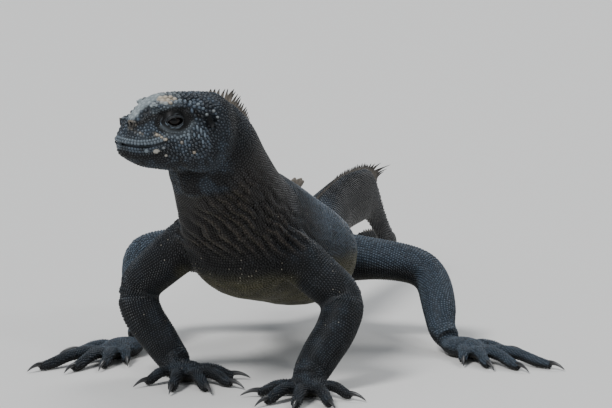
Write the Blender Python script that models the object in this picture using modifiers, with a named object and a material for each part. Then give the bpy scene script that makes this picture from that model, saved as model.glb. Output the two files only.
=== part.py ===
"""A marine iguana at life size, standing on a floor with its head turned to its right.

Metres, +Z up. The animal faces -Y, and its left side is +X. The origin is on the floor, under the
middle of the box that holds the animal. Every size below is given for an animal whose snout-to-vent
length is 250 mm, and U scales them all, so SNOUT_TO_VENT is the one driving dimension.
"""

import math
import random

import bmesh
import bpy
from mathutils import Matrix, Vector
from mathutils.bvhtree import BVHTree

SNOUT_TO_VENT = 0.250
U = SNOUT_TO_VENT / 250
GAP = 0.0003  # between solids that touch
SEED = 7
BODY_FACES, HEAD_FACES = 4100, 2000  # triangles of the plain forms
ORIGIN = (-1.5, 62.8)  # where the middle of the box lies on the floor, in the tables' coordinates

# Spine, from inside the head to the tip of the tail.
# x, y, z of the middle; turn of the body in degrees; half width; height above; depth below
SPINE = (
    (-45, -166, 118, 66, 14.5, 19, 16),
    (-38, -160, 107, 58, 17, 22, 21),
    (-33.5, -149, 94, 42, 21.5, 22.5, 21.5),
    (-29, -135, 79, 28, 25, 25.5, 23),
    (-24, -120, 66, 19, 28, 31, 28),
    (-16, -95, 59, 16, 31, 28, 28),
    (-4.5, -68, 51, 6, 30.5, 22.5, 26),
    (-6, -40, 44, -2, 30.5, 20, 24),
    (-8, -12, 38, -3, 22.5, 17.5, 20),
    (-4, 10, 40, 12, 16, 16, 16),
    (4, 32, 43, 14, 12.5, 16, 15),
    (12, 62, 47, 15, 9.5, 16.5, 15),
    (20, 95, 50, 16, 7.0, 16.5, 13.5),
    (29, 130, 50, 16, 5.2, 16, 13),
    (34.5, 158, 47.5, 15, 4.0, 14.5, 12.5),
    (39, 182, 37, 12, 2.9, 12, 11),
    (43.5, 200, 24, 10, 2.6, 10, 9.5),
    (48, 222, 11.5, 6, 2.8, 9, 12.0),
    (50, 250, 7.6, -4, 3.0, 7.6, 8.6),
    (46, 280, 5.6, -14, 2.6, 6.2, 6.4),
    (39, 306, 3.9, -22, 2.0, 4.5, 4.7),
    (31, 325, 2.2, -26, 1.2, 2.2, 2.9),
)

# Head, from the tip of the snout back: distance, half width, height above the axis, depth below it
SNOUT_TIP = (-76.5, -180, 112)
HEAD_TURN = 70  # degrees to the animal's right of straight ahead
HEAD_PITCH = 6  # degrees that the snout points down
HEAD = (
    (0.0, 2.6, 2.4, 3.4),
    (1.0, 5.0, 4.2, 5.2),
    (3.0, 7.4, 6.8, 7.0),
    (6.0, 9.0, 10.2, 9.2),
    (10.0, 10.3, 14.0, 11.4),
    (15.0, 11.8, 17.4, 12.8),
    (20.0, 13.2, 19.0, 14.1),
    (26.0, 14.6, 18.6, 15.4),
    (33.0, 16.2, 17.8, 16.8),
    (40.0, 16.4, 17.2, 16.6),
    (46.0, 14.6, 16.0, 13.5),
    (51.0, 9.0, 11.0, 8.0),
)
EYE = (22.6, 10.6, 8.0)  # distance back, out to the side, above the axis
EYE_RADIUS = 4.1
EYE_OPENING = (3.7, 2.6)  # half length and half height between the lids
NOSTRIL = (4.4, 8.0, 8.5)
NOSTRIL_RADIUS = 1.25
NOSE_RADII = (2.9, 2.6, 2.7)  # swelling round each nostril: half length, width and height
EAR = (37.6, 16.4, 6.2)
EAR_CUP = (2.0, 1.7, 3.3)  # half length, depth and half height
MOUTH_CORNER = 19.0  # distance back
MOUTH_CURVE = (-0.8, 0.47, -0.0221)  # mouth line below the axis: at the front, and by distance and its square
MOUTH_STEPS = 23
LIP_RADII = (1.35, 1.25)  # upper, lower
THROAT = (35, 0, -18.5, 11, 9.5, 10.5)  # back, out, above; half length, width and height
HEAD_SQUARENESS = 2.5
CONE_SPACING, CONE_RADIUS, CONE_HEIGHT = 3.5, 1.65, 1.5  # scales on top of the head

# Limbs: x, y, z and radius of each ring, from inside the body to the wrist or ankle
ARMS = {
    "left": ((-16, -124, 68, 12), (-6, -131, 61, 11.5), (8, -134, 49, 10.4), (19, -134, 38, 9.7),
             (17, -142, 27, 9.3), (10.5, -149, 17, 8.8), (6, -155, 10, 8.2), (4, -161, 6.5, 7.0)),
    "right": ((-40, -119, 68, 12), (-50, -117, 61, 11.5), (-62, -114, 51, 10.4), (-72.5, -112, 40, 9.6),
              (-71.5, -114, 29, 9.4), (-64, -117, 18, 8.6), (-58, -120, 10, 7.7), (-54, -124, 6.5, 6.8)),
}
LEGS = {
    "left": ((-2, -12, 38, 15), (10, -13, 39, 14), (34, -18, 39, 10.4), (54, -22, 36.5, 9.3),
             (63, -28, 30.5, 8.6), (66, -43, 20, 8.2), (67, -54, 11, 6.8), (70, -61, 7, 6.2)),
    "right": ((-14, -12, 38, 15), (-26, -13, 40, 14), (-49, -17, 43, 11.5), (-71.5, -20, 43, 9.8),
              (-78.5, -25, 38, 9.0), (-77, -41, 24, 8.4), (-75.5, -53, 12, 6.8), (-77.5, -60, 7, 6.2)),
}
# Palms and soles: middle, heading from straight ahead (towards +X is positive), half length, half width
HANDS = {"left": (4, -163, -4, 9, 9), "right": (-51, -129, 16, 9, 9)}
FEET = {"left": (77, -70, 42, 14.5, 7.8), "right": (-84, -72, -36, 14.5, 7.8)}
PAD_HEIGHT = 5.2
# Digits, from the inner one out: turn from the heading, root's place along and across, length, radius
FINGERS = ((78, 0, 5, 17, 2.7), (34, 5, 5, 20, 2.8), (5, 7, 1, 22, 2.9), (-22, 6, -4, 21, 2.8),
           (-60, 0, -6, 16, 2.6))
TOES = ((44, 4, 5, 14, 2.6), (25, 10, 4.5, 21, 2.8), (9, 12, 1.5, 30, 2.9), (-8, 11, -2.5, 38, 2.9),
        (-52, -2, -6, 19, 2.5))
DIGIT_ARCH = ((0.0, 4.2), (0.28, 5.6), (0.55, 4.8), (0.8, 2.7), (1.0, 2.0))  # share of length, height
CLAW_LENGTH = 7.6
CLAW_RADIUS, CLAW_TIP = 1.15, 0.22

# Cuts between the named parts
NECK_CUT, CHEST_CUT, TRUNK_CUT = 1.0, 3.1, 6.4  # along SPINE, in rows
TAIL_CUTS = (9.55, 11.6, 13.6, 16.6)
ARM_CUTS = ((3.15, 14), (6.05, 10))  # elbow and wrist: place along the limb, half size of the cut
LEG_CUTS = ((3.6, 13), (6.15, 10))  # knee and ankle
TOUCH = 0.0000005  # corners nearer than this are one
SOCKET_MARGIN, SOCKET_FLARE = 2.2, 2.0  # how much wider than the limb its seat is, and more so outside

# Crest: spacing, height and half thickness of its spines
CREST = {"neck": (2.8, 5.2, 0.62), "back": (4.0, 4.2, 0.62), "tail": (7.0, 3.8, 0.55)}
HEAD_CREST = (44, 53, 2.3, 5.0, 0.62)  # from and to how far behind the snout, then as above
SPUR_PLACE = 14.3  # along SPINE
SPUR_TURN = 2.2  # how much the spur's spines lean to the animal's left
BACK_RIDGE = (-2, -70, 72.5, 5.0, 26, 7.5)  # middle; half width, length and height, under the tall spines
CREST_RISE = 0.5  # how much the crest turns from square on the back to upright
CREST_LEAN, SPUR_LEAN = 0.34, 1.3  # how far a spine's tip lies back, as a share of its height
CONE_START, CONE_END = 4.8, 41  # rows of conical scales on the head, back from the snout

BODY_VOXEL, HEAD_VOXEL = 1.1, 0.55
SKIN_COLOUR = (0.030, 0.033, 0.036)
EYE_COLOUR = (0.012, 0.009, 0.007)


def clear_scene():
    for obj in list(bpy.data.objects):
        bpy.data.objects.remove(obj)


def at(x, y, z):
    """A point of the tables, in metres in the part's frame."""
    return Vector((x - ORIGIN[0], y - ORIGIN[1], z)) * U


def smooth_row(rows, place):
    """The row at a place along a table, on a Catmull-Rom curve through its rows."""
    i = min(int(place), len(rows) - 2)
    t = place - i
    p = [rows[max(0, min(len(rows) - 1, k))] for k in (i - 1, i, i + 1, i + 2)]
    return tuple(
        0.5 * (2 * b + (c - a) * t + (2 * a - 5 * b + 4 * c - d) * t**2 + (3 * b - a - 3 * c + d) * t**3)
        for a, b, c, d in zip(*p)
    )


def frame_at(rows, place, turned=True):
    """Middle, direction back along the table, left and up at a place."""
    row = smooth_row(rows, place)
    step = 0.05
    ahead = at(*smooth_row(rows, min(place + step, len(rows) - 1))[:3])
    behind = at(*smooth_row(rows, max(place - step, 0))[:3])
    along = (ahead - behind).normalized()
    if turned:
        angle = math.radians(row[3])
        left = Vector((math.cos(angle), -math.sin(angle), 0))
    else:
        left = Vector((0, 0, 1)).cross(along)
        if left.length < 0.2:
            left = Vector((1, 0, 0))
    left = (left - along * left.dot(along)).normalized()
    return at(*row[:3]), along, left, left.cross(along).normalized()


def head_axes():
    """Axis of the head back from the snout, its left and its up."""
    turn, pitch = math.radians(HEAD_TURN), math.radians(HEAD_PITCH)
    ahead = Vector((-math.sin(turn), -math.cos(turn), 0))
    left = Vector((math.cos(turn), -math.sin(turn), 0))
    along = -(ahead * math.cos(pitch) - Vector((0, 0, math.sin(pitch))))
    return along, left, left.cross(along).normalized()


def head_point(back, out, above):
    along, left, up = head_axes()
    tip = at(*SNOUT_TIP)
    return tip + (along * back + left * out + up * above) * U


def ring_points(middle, left, up, half, above, below, sides, squareness=2.0):
    """Points round one section, a superellipse that is taller or flatter above than below."""
    points = []
    for k in range(sides):
        angle = 2 * math.pi * k / sides
        c, s = math.cos(angle), math.sin(angle)
        power = 2 / squareness
        across = math.copysign(abs(c) ** power, c) * half
        height = math.copysign(abs(s) ** power, s) * (above if s > 0 else below)
        points.append(middle + (left * across + up * height) * U)
    return points


def loft(name, rings):
    """A closed mesh object through rings of points, each ring extruded from the one before."""
    bm = bmesh.new()
    bmesh.ops.create_circle(bm, cap_ends=False, segments=len(rings[0]), radius=1)
    bm.verts.ensure_lookup_table()
    ring = list(bm.verts)
    first = ring
    for vert, point in zip(ring, rings[0]):
        vert.co = point
    for points in rings[1:]:
        edges = [bm.edges.get(pair) for pair in zip(ring, ring[1:] + ring[:1])]
        made = bmesh.ops.extrude_edge_only(bm, edges=edges)["geom"]
        fresh = {item for item in made if isinstance(item, bmesh.types.BMVert)}
        ring = [next(e.other_vert(v) for e in v.link_edges if e.other_vert(v) in fresh) for v in ring]
        for vert, point in zip(ring, points):
            vert.co = point
    bm.faces.new(first)
    bm.faces.new(ring)
    bmesh.ops.recalc_face_normals(bm, faces=bm.faces)
    return object_from(name, bm)


def object_from(name, bm):
    """Makes an object of closed pieces, with their faces outward."""
    if bm.calc_volume(signed=True) < 0:
        bmesh.ops.reverse_faces(bm, faces=bm.faces)
    mesh = bpy.data.meshes.new(name)
    bm.to_mesh(mesh)
    bm.free()
    obj = bpy.data.objects.new(name, mesh)
    bpy.context.scene.collection.objects.link(obj)
    return obj


def ball(name, middle, axes, radii, rings=14):
    """An ellipsoid at middle, with its radii along three axes."""
    bm = bmesh.new()
    bmesh.ops.create_uvsphere(bm, u_segments=2 * rings, v_segments=rings, radius=1)
    turn = Matrix([[axis[k] for axis in axes] for k in range(3)]).to_4x4()
    scale = Matrix.Diagonal([radius * U for radius in radii] + [1])
    bmesh.ops.transform(bm, matrix=Matrix.Translation(middle) @ turn @ scale, verts=bm.verts)
    bmesh.ops.recalc_face_normals(bm, faces=bm.faces)
    return object_from(name, bm)


def tube(name, points, radii, sides):
    """A round tube that tapers along its points."""
    rings = []
    for i, point in enumerate(points):
        along = (points[min(i + 1, len(points) - 1)] - points[max(i - 1, 0)]).normalized()
        left = Vector((0, 0, 1)).cross(along)
        left = left.normalized() if left.length > 0.1 else Vector((1, 0, 0))
        up = left.cross(along).normalized()
        rings.append(ring_points(point, left, up, radii[i], radii[i], radii[i], sides))
    return loft(name, rings)


def spine_form(last=len(SPINE) - 1):
    """Neck, trunk and tail as one loft, as far as the last row."""
    steps = 4
    rings = []
    for k in range(last * steps + 1):
        place = k / steps
        row = smooth_row(SPINE, place)
        middle, _, left, up = frame_at(SPINE, place)
        rings.append(ring_points(middle, left, up, *row[4:7], sides=32, squareness=2.15))
    return loft("spine_form", rings)


def head_section(back):
    """Half width, height above and depth below at a distance back from the snout."""
    for k in range(len(HEAD) - 1):
        if back <= HEAD[k + 1][0]:
            return smooth_row(HEAD, k + (back - HEAD[k][0]) / (HEAD[k + 1][0] - HEAD[k][0]))[1:]
    return HEAD[-1][1:]


def head_side(back, above):
    """How far out to the side the head's surface lies at a height above its axis."""
    half, top, low = head_section(back)
    share = min(abs(above) / (top if above > 0 else low), 0.999)
    return half * (1 - share**HEAD_SQUARENESS) ** (1 / HEAD_SQUARENESS)


def head_form():
    _, left, up = head_axes()
    rings = []
    for k in range((len(HEAD) - 1) * 3 + 1):
        row = smooth_row(HEAD, k / 3)
        middle = head_point(row[0], 0, 0)
        rings.append(ring_points(middle, left, up, *row[1:], sides=40, squareness=HEAD_SQUARENESS))
    return loft("head_form", rings)


def head_features():
    """Brows, lids, cheeks, lips and the rims of the nostrils, laid on the head's loft."""
    along, left, up = head_axes()
    made = []
    for side, name in ((1, "left"), (-1, "right")):
        out = left * side
        axes = (along, out, up)
        back, across, above = EYE
        lid = ball(f"lid_{name}", head_point(back, side * across, above), axes, (EYE_RADIUS + 1.5,) * 3)
        brow_tilt = (along * 0.985 - up * 0.17).normalized()
        brow_axes = (brow_tilt, out, brow_tilt.cross(out))
        brow = ball(f"brow_{name}", head_point(back - 0.5, side * (across - 0.2), above + 6.0), brow_axes,
                    (9.5, 3.4, 2.3))
        cheek = ball(f"cheek_{name}", head_point(34, side * 11.0, -6.0), axes, (11.5, 5.8, 10))
        temple = ball(f"temple_{name}", head_point(34, side * 10.6, 9.5), axes, (9, 4.8, 5.5))
        made += [lid, brow, cheek, temple]
        back, across, above = NOSTRIL
        made.append(ball(f"nose_{name}", head_point(back + 2.0, side * (across - 2.2), above - 0.4), axes,
                         NOSE_RADII))
    ends = [min(1, 0.3 + 0.23 * min(k, MOUTH_STEPS - 1 - k)) for k in range(MOUTH_STEPS)]
    made.append(tube("lip_upper", mouth_path(1.45, 0.9), [LIP_RADII[0] * end for end in ends], 8))
    made.append(tube("lip_lower", mouth_path(-1.55, 0.9), [LIP_RADII[1] * end for end in ends], 8))
    made.append(ball("throat", head_point(*THROAT[:3]), (along, left, up), THROAT[3:]))
    return made


def mouth_path(raised, inset):
    """Points along the mouth line, from its left corner round the snout to the right one."""
    points = []
    for k in range(MOUTH_STEPS):
        share = 2 * k / (MOUTH_STEPS - 1) - 1
        back = MOUTH_CORNER * abs(share) ** 1.6
        above = raised - mouth_drop(back)
        front = min(1, abs(share) * 6)
        out = max(0, head_side(back, above) - inset) * front
        points.append(head_point(back + inset * (1 - front), math.copysign(out, -share), above))
    return points


def mouth_drop(back):
    front, slope, bend = MOUTH_CURVE
    return front + slope * back + bend * back**2


def limb_form(name, rows):
    steps = 4
    points, radii = [], []
    for k in range((len(rows) - 1) * steps + 1):
        row = smooth_row(rows, k / steps)
        points.append(at(*row[:3]))
        radii.append(row[3])
    return tube(name, points, radii, 20)


def foot_frame(pad):
    x, y, heading = pad[:3]
    angle = math.radians(heading)
    ahead = Vector((math.sin(angle), -math.cos(angle), 0))
    return at(x, y, 0), ahead, Vector((-ahead.y, ahead.x, 0))


def digit_path(pad, digit, inner):
    """Points along a digit from inside the pad to the end of its flesh, and its heading."""
    middle, ahead, left = foot_frame(pad)
    turn, along, across, length, _ = digit
    angle = math.radians(turn) * inner
    heading = ahead * math.cos(angle) + left * math.sin(angle)
    root = middle + (ahead * along + left * across * inner) * U
    up = Vector((0, 0, 1))
    return [root + (heading * length * share + up * height) * U for share, height in DIGIT_ARCH], heading


def pad_forms(name, pad, digits, inner):
    """Palm or sole, and its digits, as closed pieces that overlap."""
    middle, ahead, left = foot_frame(pad)
    up = Vector((0, 0, 1))
    made = [ball(f"{name}_pad", middle + up * PAD_HEIGHT * 0.86 * U, (ahead, left, up),
                 (pad[3], pad[4], PAD_HEIGHT))]
    for k, digit in enumerate(digits):
        points, _ = digit_path(pad, digit, inner)
        radius = digit[4]
        radii = [radius * share for share in (1.1, 1.05, 1.0, 0.95, 0.72)]
        made.append(tube(f"{name}_digit_{k}", points, radii, 12))
    return made


def claw_forms(name, pad, digits, inner):
    """Long hooked claws, each rising from the end of its digit and bending down to the floor."""
    made = []
    up = Vector((0, 0, 1))
    steps = 4
    for k, digit in enumerate(digits):
        points, heading = digit_path(pad, digit, inner)
        base = points[-1] - heading * 1.6 * U
        path, radii = [], []
        for step in range(steps + 1):
            share = step / steps
            rise = 0.9 + 2.2 * share - 4.2 * share**2
            path.append(base + (heading * (CLAW_LENGTH + 1.6) * share + up * rise) * U)
            radii.append(CLAW_RADIUS * (1 - share) ** 0.7 + CLAW_TIP)
            path[-1].z = max(path[-1].z, (radii[-1] + 0.1) * U)
        made.append(tube(f"{name}_claw_{k}", path, radii, 6))
    return made


def joined(name, objs):
    bm = bmesh.new()
    for obj in objs:
        bm.from_mesh(obj.data)
        bpy.data.objects.remove(obj)
    return object_from(name, bm)


def apply_modifiers(obj):
    graph = bpy.context.evaluated_depsgraph_get()
    mesh = bpy.data.meshes.new_from_object(obj.evaluated_get(graph), depsgraph=graph)
    obj.modifiers.clear()
    old = obj.data
    obj.data = mesh
    bpy.data.meshes.remove(old)
    return obj


def melted(name, pieces, voxel, soft, rounds, faces, least=0.12):
    """One skin round overlapping pieces, smoothed near the soft spots and thinned to that many faces."""
    form = joined(name, pieces)
    remesh = form.modifiers.new("remesh", "REMESH")
    remesh.mode = "VOXEL"
    remesh.voxel_size = voxel * U
    apply_modifiers(form)
    group = form.vertex_groups.new(name="soft")
    for vert in form.data.vertices:
        weight = least
        for spot, reach in soft:
            weight = max(weight, 1 - (vert.co - spot).length / (reach * U))
        group.add([vert.index], min(1, weight * 1.6), "REPLACE")
    smooth = form.modifiers.new("smooth", "SMOOTH")
    smooth.factor = 0.6
    smooth.iterations = rounds
    smooth.vertex_group = "soft"
    apply_modifiers(form)
    thin = form.modifiers.new("thin", "DECIMATE")
    thin.ratio = faces / (2 * len(form.data.polygons))
    thin.use_collapse_triangulate = True
    return apply_modifiers(form)


def boolean(obj, others, operation):
    """Joins the others to obj, or takes them from it, in one Boolean, and removes them."""
    group = bpy.data.collections.new("pieces")
    for other in others:
        bpy.context.scene.collection.objects.unlink(other)
        group.objects.link(other)
    bpy.context.scene.collection.children.link(group)
    modifier = obj.modifiers.new(operation.lower(), "BOOLEAN")
    modifier.operation = operation
    modifier.operand_type = "COLLECTION"
    modifier.collection = group
    modifier.solver = "MANIFOLD"
    apply_modifiers(obj)
    for other in others:
        bpy.data.objects.remove(other)
    bpy.data.collections.remove(group)
    return obj


def floor_block():
    """All that lies below the floor, so that what rests on it is cut to a flat."""
    bm = bmesh.new()
    bmesh.ops.create_cube(bm, size=1)
    bmesh.ops.translate(bm, vec=(0, 0, -0.5), verts=bm.verts)
    return object_from("floor_block", bm)


def slab(middle, along, half, thickness=GAP):
    """A thin square plate across the limb or the spine at a point."""
    bm = bmesh.new()
    bmesh.ops.create_cube(bm, size=1)
    turn = along.to_track_quat("Z", "Y").to_matrix().to_4x4()
    scale = Matrix.Diagonal((2 * half * U, 2 * half * U, thickness, 1))
    bmesh.ops.transform(bm, matrix=Matrix.Translation(middle) @ turn @ scale, verts=bm.verts)
    return object_from("slab", bm)


def loose_parts(obj):
    bpy.ops.object.select_all(action="DESELECT")
    obj.select_set(True)
    bpy.context.view_layer.objects.active = obj
    bpy.ops.mesh.separate(type="LOOSE")
    return list(bpy.context.selected_objects)


def middle_of(obj):
    """Middle of the surface, which tells the parts apart whatever their vertices' spread."""
    total, point = 0.0, Vector()
    for face in obj.data.polygons:
        total += face.area
        point += face.center * face.area
    return point / total


def copy_of(obj, name):
    twin = bpy.data.objects.new(name, obj.data.copy())
    bpy.context.scene.collection.objects.link(twin)
    return twin


def largest_part(obj):
    """Keeps the largest closed surface of obj and removes any crumbs."""
    parts = loose_parts(obj)
    kept = max(parts, key=lambda part: sum(face.area for face in part.data.polygons))
    for part in parts:
        if part is not kept:
            bpy.data.objects.remove(part)
    return kept


def triangulated(obj):
    """Splits faces with many corners into triangles, by a rule that gives no two of them the same diagonal.

    False where each rule leaves an edge with more or fewer than two faces."""
    for corners in ("BEAUTY", "EAR_CLIP"):
        for quads in ("BEAUTY", "SHORT_EDGE", "LONG_EDGE", "FIXED"):
            bm = bmesh.new()
            bm.from_mesh(obj.data)
            bmesh.ops.triangulate(bm, faces=bm.faces, quad_method=quads, ngon_method=corners)
            bmesh.ops.remove_doubles(bm, verts=bm.verts, dist=TOUCH)
            good = all(len(edge.link_faces) == 2 for edge in bm.edges)
            if good:
                bm.to_mesh(obj.data)
            bm.free()
            if good:
                return True
    return False


def set_on(node, rows):
    """Joins rows of spines or scales to a node, and slides the rows back a little until the join is sound."""
    for nudge in range(10):
        trial = copy_of(node, node.name)
        trial = largest_part(boolean(trial, rows(trial, nudge * 0.09), "UNION"))
        if triangulated(trial):
            bpy.data.objects.remove(node)
            return trial
        bpy.data.objects.remove(trial)
    return node


def cut_apart(obj, cuts):
    """Splits obj by thin plates, each a point, a direction and a half size, into its parts."""
    boolean(obj, [slab(*cut) for cut in cuts], "DIFFERENCE")
    return loose_parts(obj)


def nearest_part(parts, point):
    """Takes from parts the one whose surface's middle is nearest to a point, and removes it from the list."""
    found = min(parts, key=lambda part: (middle_of(part) - point).length)
    parts.remove(found)
    return found


def limb_cut(rows, place, half):
    middle, along, _, _ = frame_at(rows, place, turned=False)
    return middle, along, half


def spine_cut(place, half):
    middle, along, _, _ = frame_at(SPINE, place)
    return middle, along, half


def socket(name, rows, first, last, margin):
    """A straight plug round the upper limb, from a flat start inside the trunk to past the next joint."""
    start, end = smooth_row(rows, first), smooth_row(rows, last)
    along = at(*end[:3]) - at(*start[:3])
    bm = bmesh.new()
    bmesh.ops.create_cone(bm, cap_ends=True, segments=24, radius1=(start[3] + margin) * U,
                          radius2=(end[3] + margin + SOCKET_FLARE) * U, depth=along.length)
    turn = along.to_track_quat("Z", "Y").to_matrix().to_4x4()
    bmesh.ops.transform(bm, matrix=Matrix.Translation(at(*start[:3]) + along / 2) @ turn, verts=bm.verts)
    return object_from(name, bm)


def spine_spike(name, root, up, back, height, length, thickness, lean):
    """One spine of the crest: four sides, flat from side to side, bent back, with its root sunk in."""
    sunk = 1.6
    bm = bmesh.new()
    bmesh.ops.create_cone(bm, cap_ends=True, segments=4, radius1=1, radius2=0, depth=height + sunk)
    rising = [edge for edge in bm.edges if edge.verts[0].co.z * edge.verts[1].co.z < 0]
    bmesh.ops.subdivide_edges(bm, edges=rising, cuts=1)
    side = up.cross(back).normalized()
    for vert in bm.verts:
        share = (vert.co.z + (height + sunk) / 2) / (height + sunk)
        along = vert.co.x * length / 2 + lean * height * share**2
        across = vert.co.y * thickness * (1.15 if 0.1 < share < 0.9 else 1)
        vert.co = root + (back * along + side * across + up * (share * (height + sunk) - sunk)) * U
    return object_from(name, bm)


def crest_spikes(node, first, last, nudge, spacing, height, thickness, rng):
    """Spines set along the top of a node, between two rows of SPINE."""
    tree = BVHTree.FromObject(node, bpy.context.evaluated_depsgraph_get())
    made = []
    place = first
    while True:
        middle, along, left, up = frame_at(SPINE, place)
        step = (at(*smooth_row(SPINE, place + 0.05)[:3]) - middle).length / U / 0.05
        if place == first:
            place += spacing / step * (0.55 + nudge)
            continue
        if place > last - spacing / step * 0.5:
            return made
        vary = 1 + 0.22 * (rng.random() - 0.5)
        tall = height * vary * crest_share(place)
        hit, _, _, _ = tree.ray_cast(middle + up * 60 * U, -up)
        apart = hit is not None and (not made or (hit - root).length > 0.8 * spacing * U)
        if apart and (hit - middle).length < 45 * U:
            root = hit
            sideways = (rng.random() - 0.5) * 0.16
            rising = (up + left * sideways + Vector((0, 0, CREST_RISE))).normalized()
            back = along + Vector((1, 0, 0)) * SPUR_TURN * spur_share(place)
            trailing = (back - rising * back.dot(rising)).normalized()
            made.append(spine_spike("spike", hit, rising, trailing, tall, spacing * 0.86 * vary**0.5,
                                    thickness, CREST_LEAN + SPUR_LEAN * spur_share(place)))
        place += spacing / step


def crest_share(place):
    """How tall the crest is along the body, as a share of its height in the table: tallest on the nape."""
    if place < 3.2:
        return 0.95 - 0.50 * min(1, max(0, place - 0.2) / 1.0)
    if place < 9.5:
        return 0.70 + 0.80 * math.exp(-((place - 6.1) / 0.9) ** 2)
    return 0.4 + 0.6 * math.exp(-((place - 14.5) / 3.6) ** 2) + 1.2 * spur_share(place)


def spur_share(place):
    """1 where the tail bends down and its longest spines stand out as a spur, falling to 0 on both sides."""
    return math.exp(-((place - SPUR_PLACE) / 0.3) ** 2)


def head_cutters():
    """Eye sockets and openings, nostrils, ear cups and the mouth line, to be taken from the head."""
    along, left, up = head_axes()
    made = [tube("mouth_line", mouth_path(0, -0.15), [0.5] * MOUTH_STEPS, 6)]
    for side in (1, -1):
        axes = (along, left * side, up)
        back, out, above = EYE
        made.append(ball("socket", head_point(back, side * out, above), axes, (EYE_RADIUS + GAP / U,) * 3, 8))
        made.append(ball("opening", head_point(back, side * (out + EYE_RADIUS + 0.8), above), axes,
                         (EYE_OPENING[0], 3.2, EYE_OPENING[1]), 8))
        back, out, above = NOSTRIL
        made.append(ball("nostril", head_point(back, side * out, above), axes,
                         (NOSTRIL_RADIUS, 1.8, NOSTRIL_RADIUS * 0.85), 6))
        back, _, above = EAR
        middle = head_point(back, side * head_side(back, above), above)
        made.append(ball("ear", middle, axes, EAR_CUP, 7))
    return made


def head_cones(head, nudge, rng):
    """Conical scales in staggered rows over the snout and the crown."""
    tree = BVHTree.FromObject(head, bpy.context.evaluated_depsgraph_get())
    _, _, up = head_axes()
    made = []
    rows = int((CONE_END - CONE_START) / CONE_SPACING)
    for row in range(rows + 1):
        back = CONE_START + (row + nudge) * CONE_SPACING
        reach = min(head_section(back)[0] - 2.2, 9.8)
        columns = int(2 * reach / CONE_SPACING)
        for column in range(columns + 1):
            out = (column - columns / 2) * CONE_SPACING + 0.3 * (rng.random() - 0.5)
            start = head_point(back + 0.3 * (rng.random() - 0.5), out, 40)
            hit, normal, _, _ = tree.ray_cast(start, -up)
            if hit is None or normal.dot(up) < 0.35:
                continue
            front = 1.15 if back < 20 else 0.85
            height = CONE_HEIGHT * front * (0.8 + 0.4 * rng.random())
            bm = bmesh.new()
            bmesh.ops.create_cone(bm, cap_ends=True, segments=5, radius1=CONE_RADIUS * U, radius2=0,
                                  depth=(height + 1) * U)
            turn = normal.to_track_quat("Z", "Y").to_matrix().to_4x4()
            centre = hit + normal * (height - 1) / 2 * U
            bmesh.ops.transform(bm, matrix=Matrix.Translation(centre) @ turn, verts=bm.verts)
            made.append(object_from("cone", bm))
    return made


def head_crest(head, nudge, rng):
    """The first spines, behind the crown."""
    tree = BVHTree.FromObject(head, bpy.context.evaluated_depsgraph_get())
    along, left, up = head_axes()
    start, end, spacing, height, thickness = HEAD_CREST
    made = []
    back = start + nudge * spacing
    while back < end:
        hit, normal, _, _ = tree.ray_cast(head_point(back, 0, 50), -up)
        if hit is not None:
            share = 0.25 + 0.75 * (back - start) / (end - start)
            tall = height * share * (1 + 0.2 * (rng.random() - 0.5))
            rising = (normal + up * 0.6 + left * 0.16 * (rng.random() - 0.5)).normalized()
            trailing = (along - rising * along.dot(rising)).normalized()
            length = spacing * 0.86
            made.append(spine_spike("spike", hit, rising, trailing, tall, length, thickness, CREST_LEAN))
        back += spacing
    return made


def paint(obj, colour, roughness):
    material = bpy.data.materials.new(obj.name)
    material.use_nodes = True
    shader = material.node_tree.nodes["Principled BSDF"]
    shader.inputs["Base Color"].default_value = (*colour, 1)
    shader.inputs["Roughness"].default_value = roughness
    obj.data.materials.clear()
    obj.data.materials.append(material)


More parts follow.
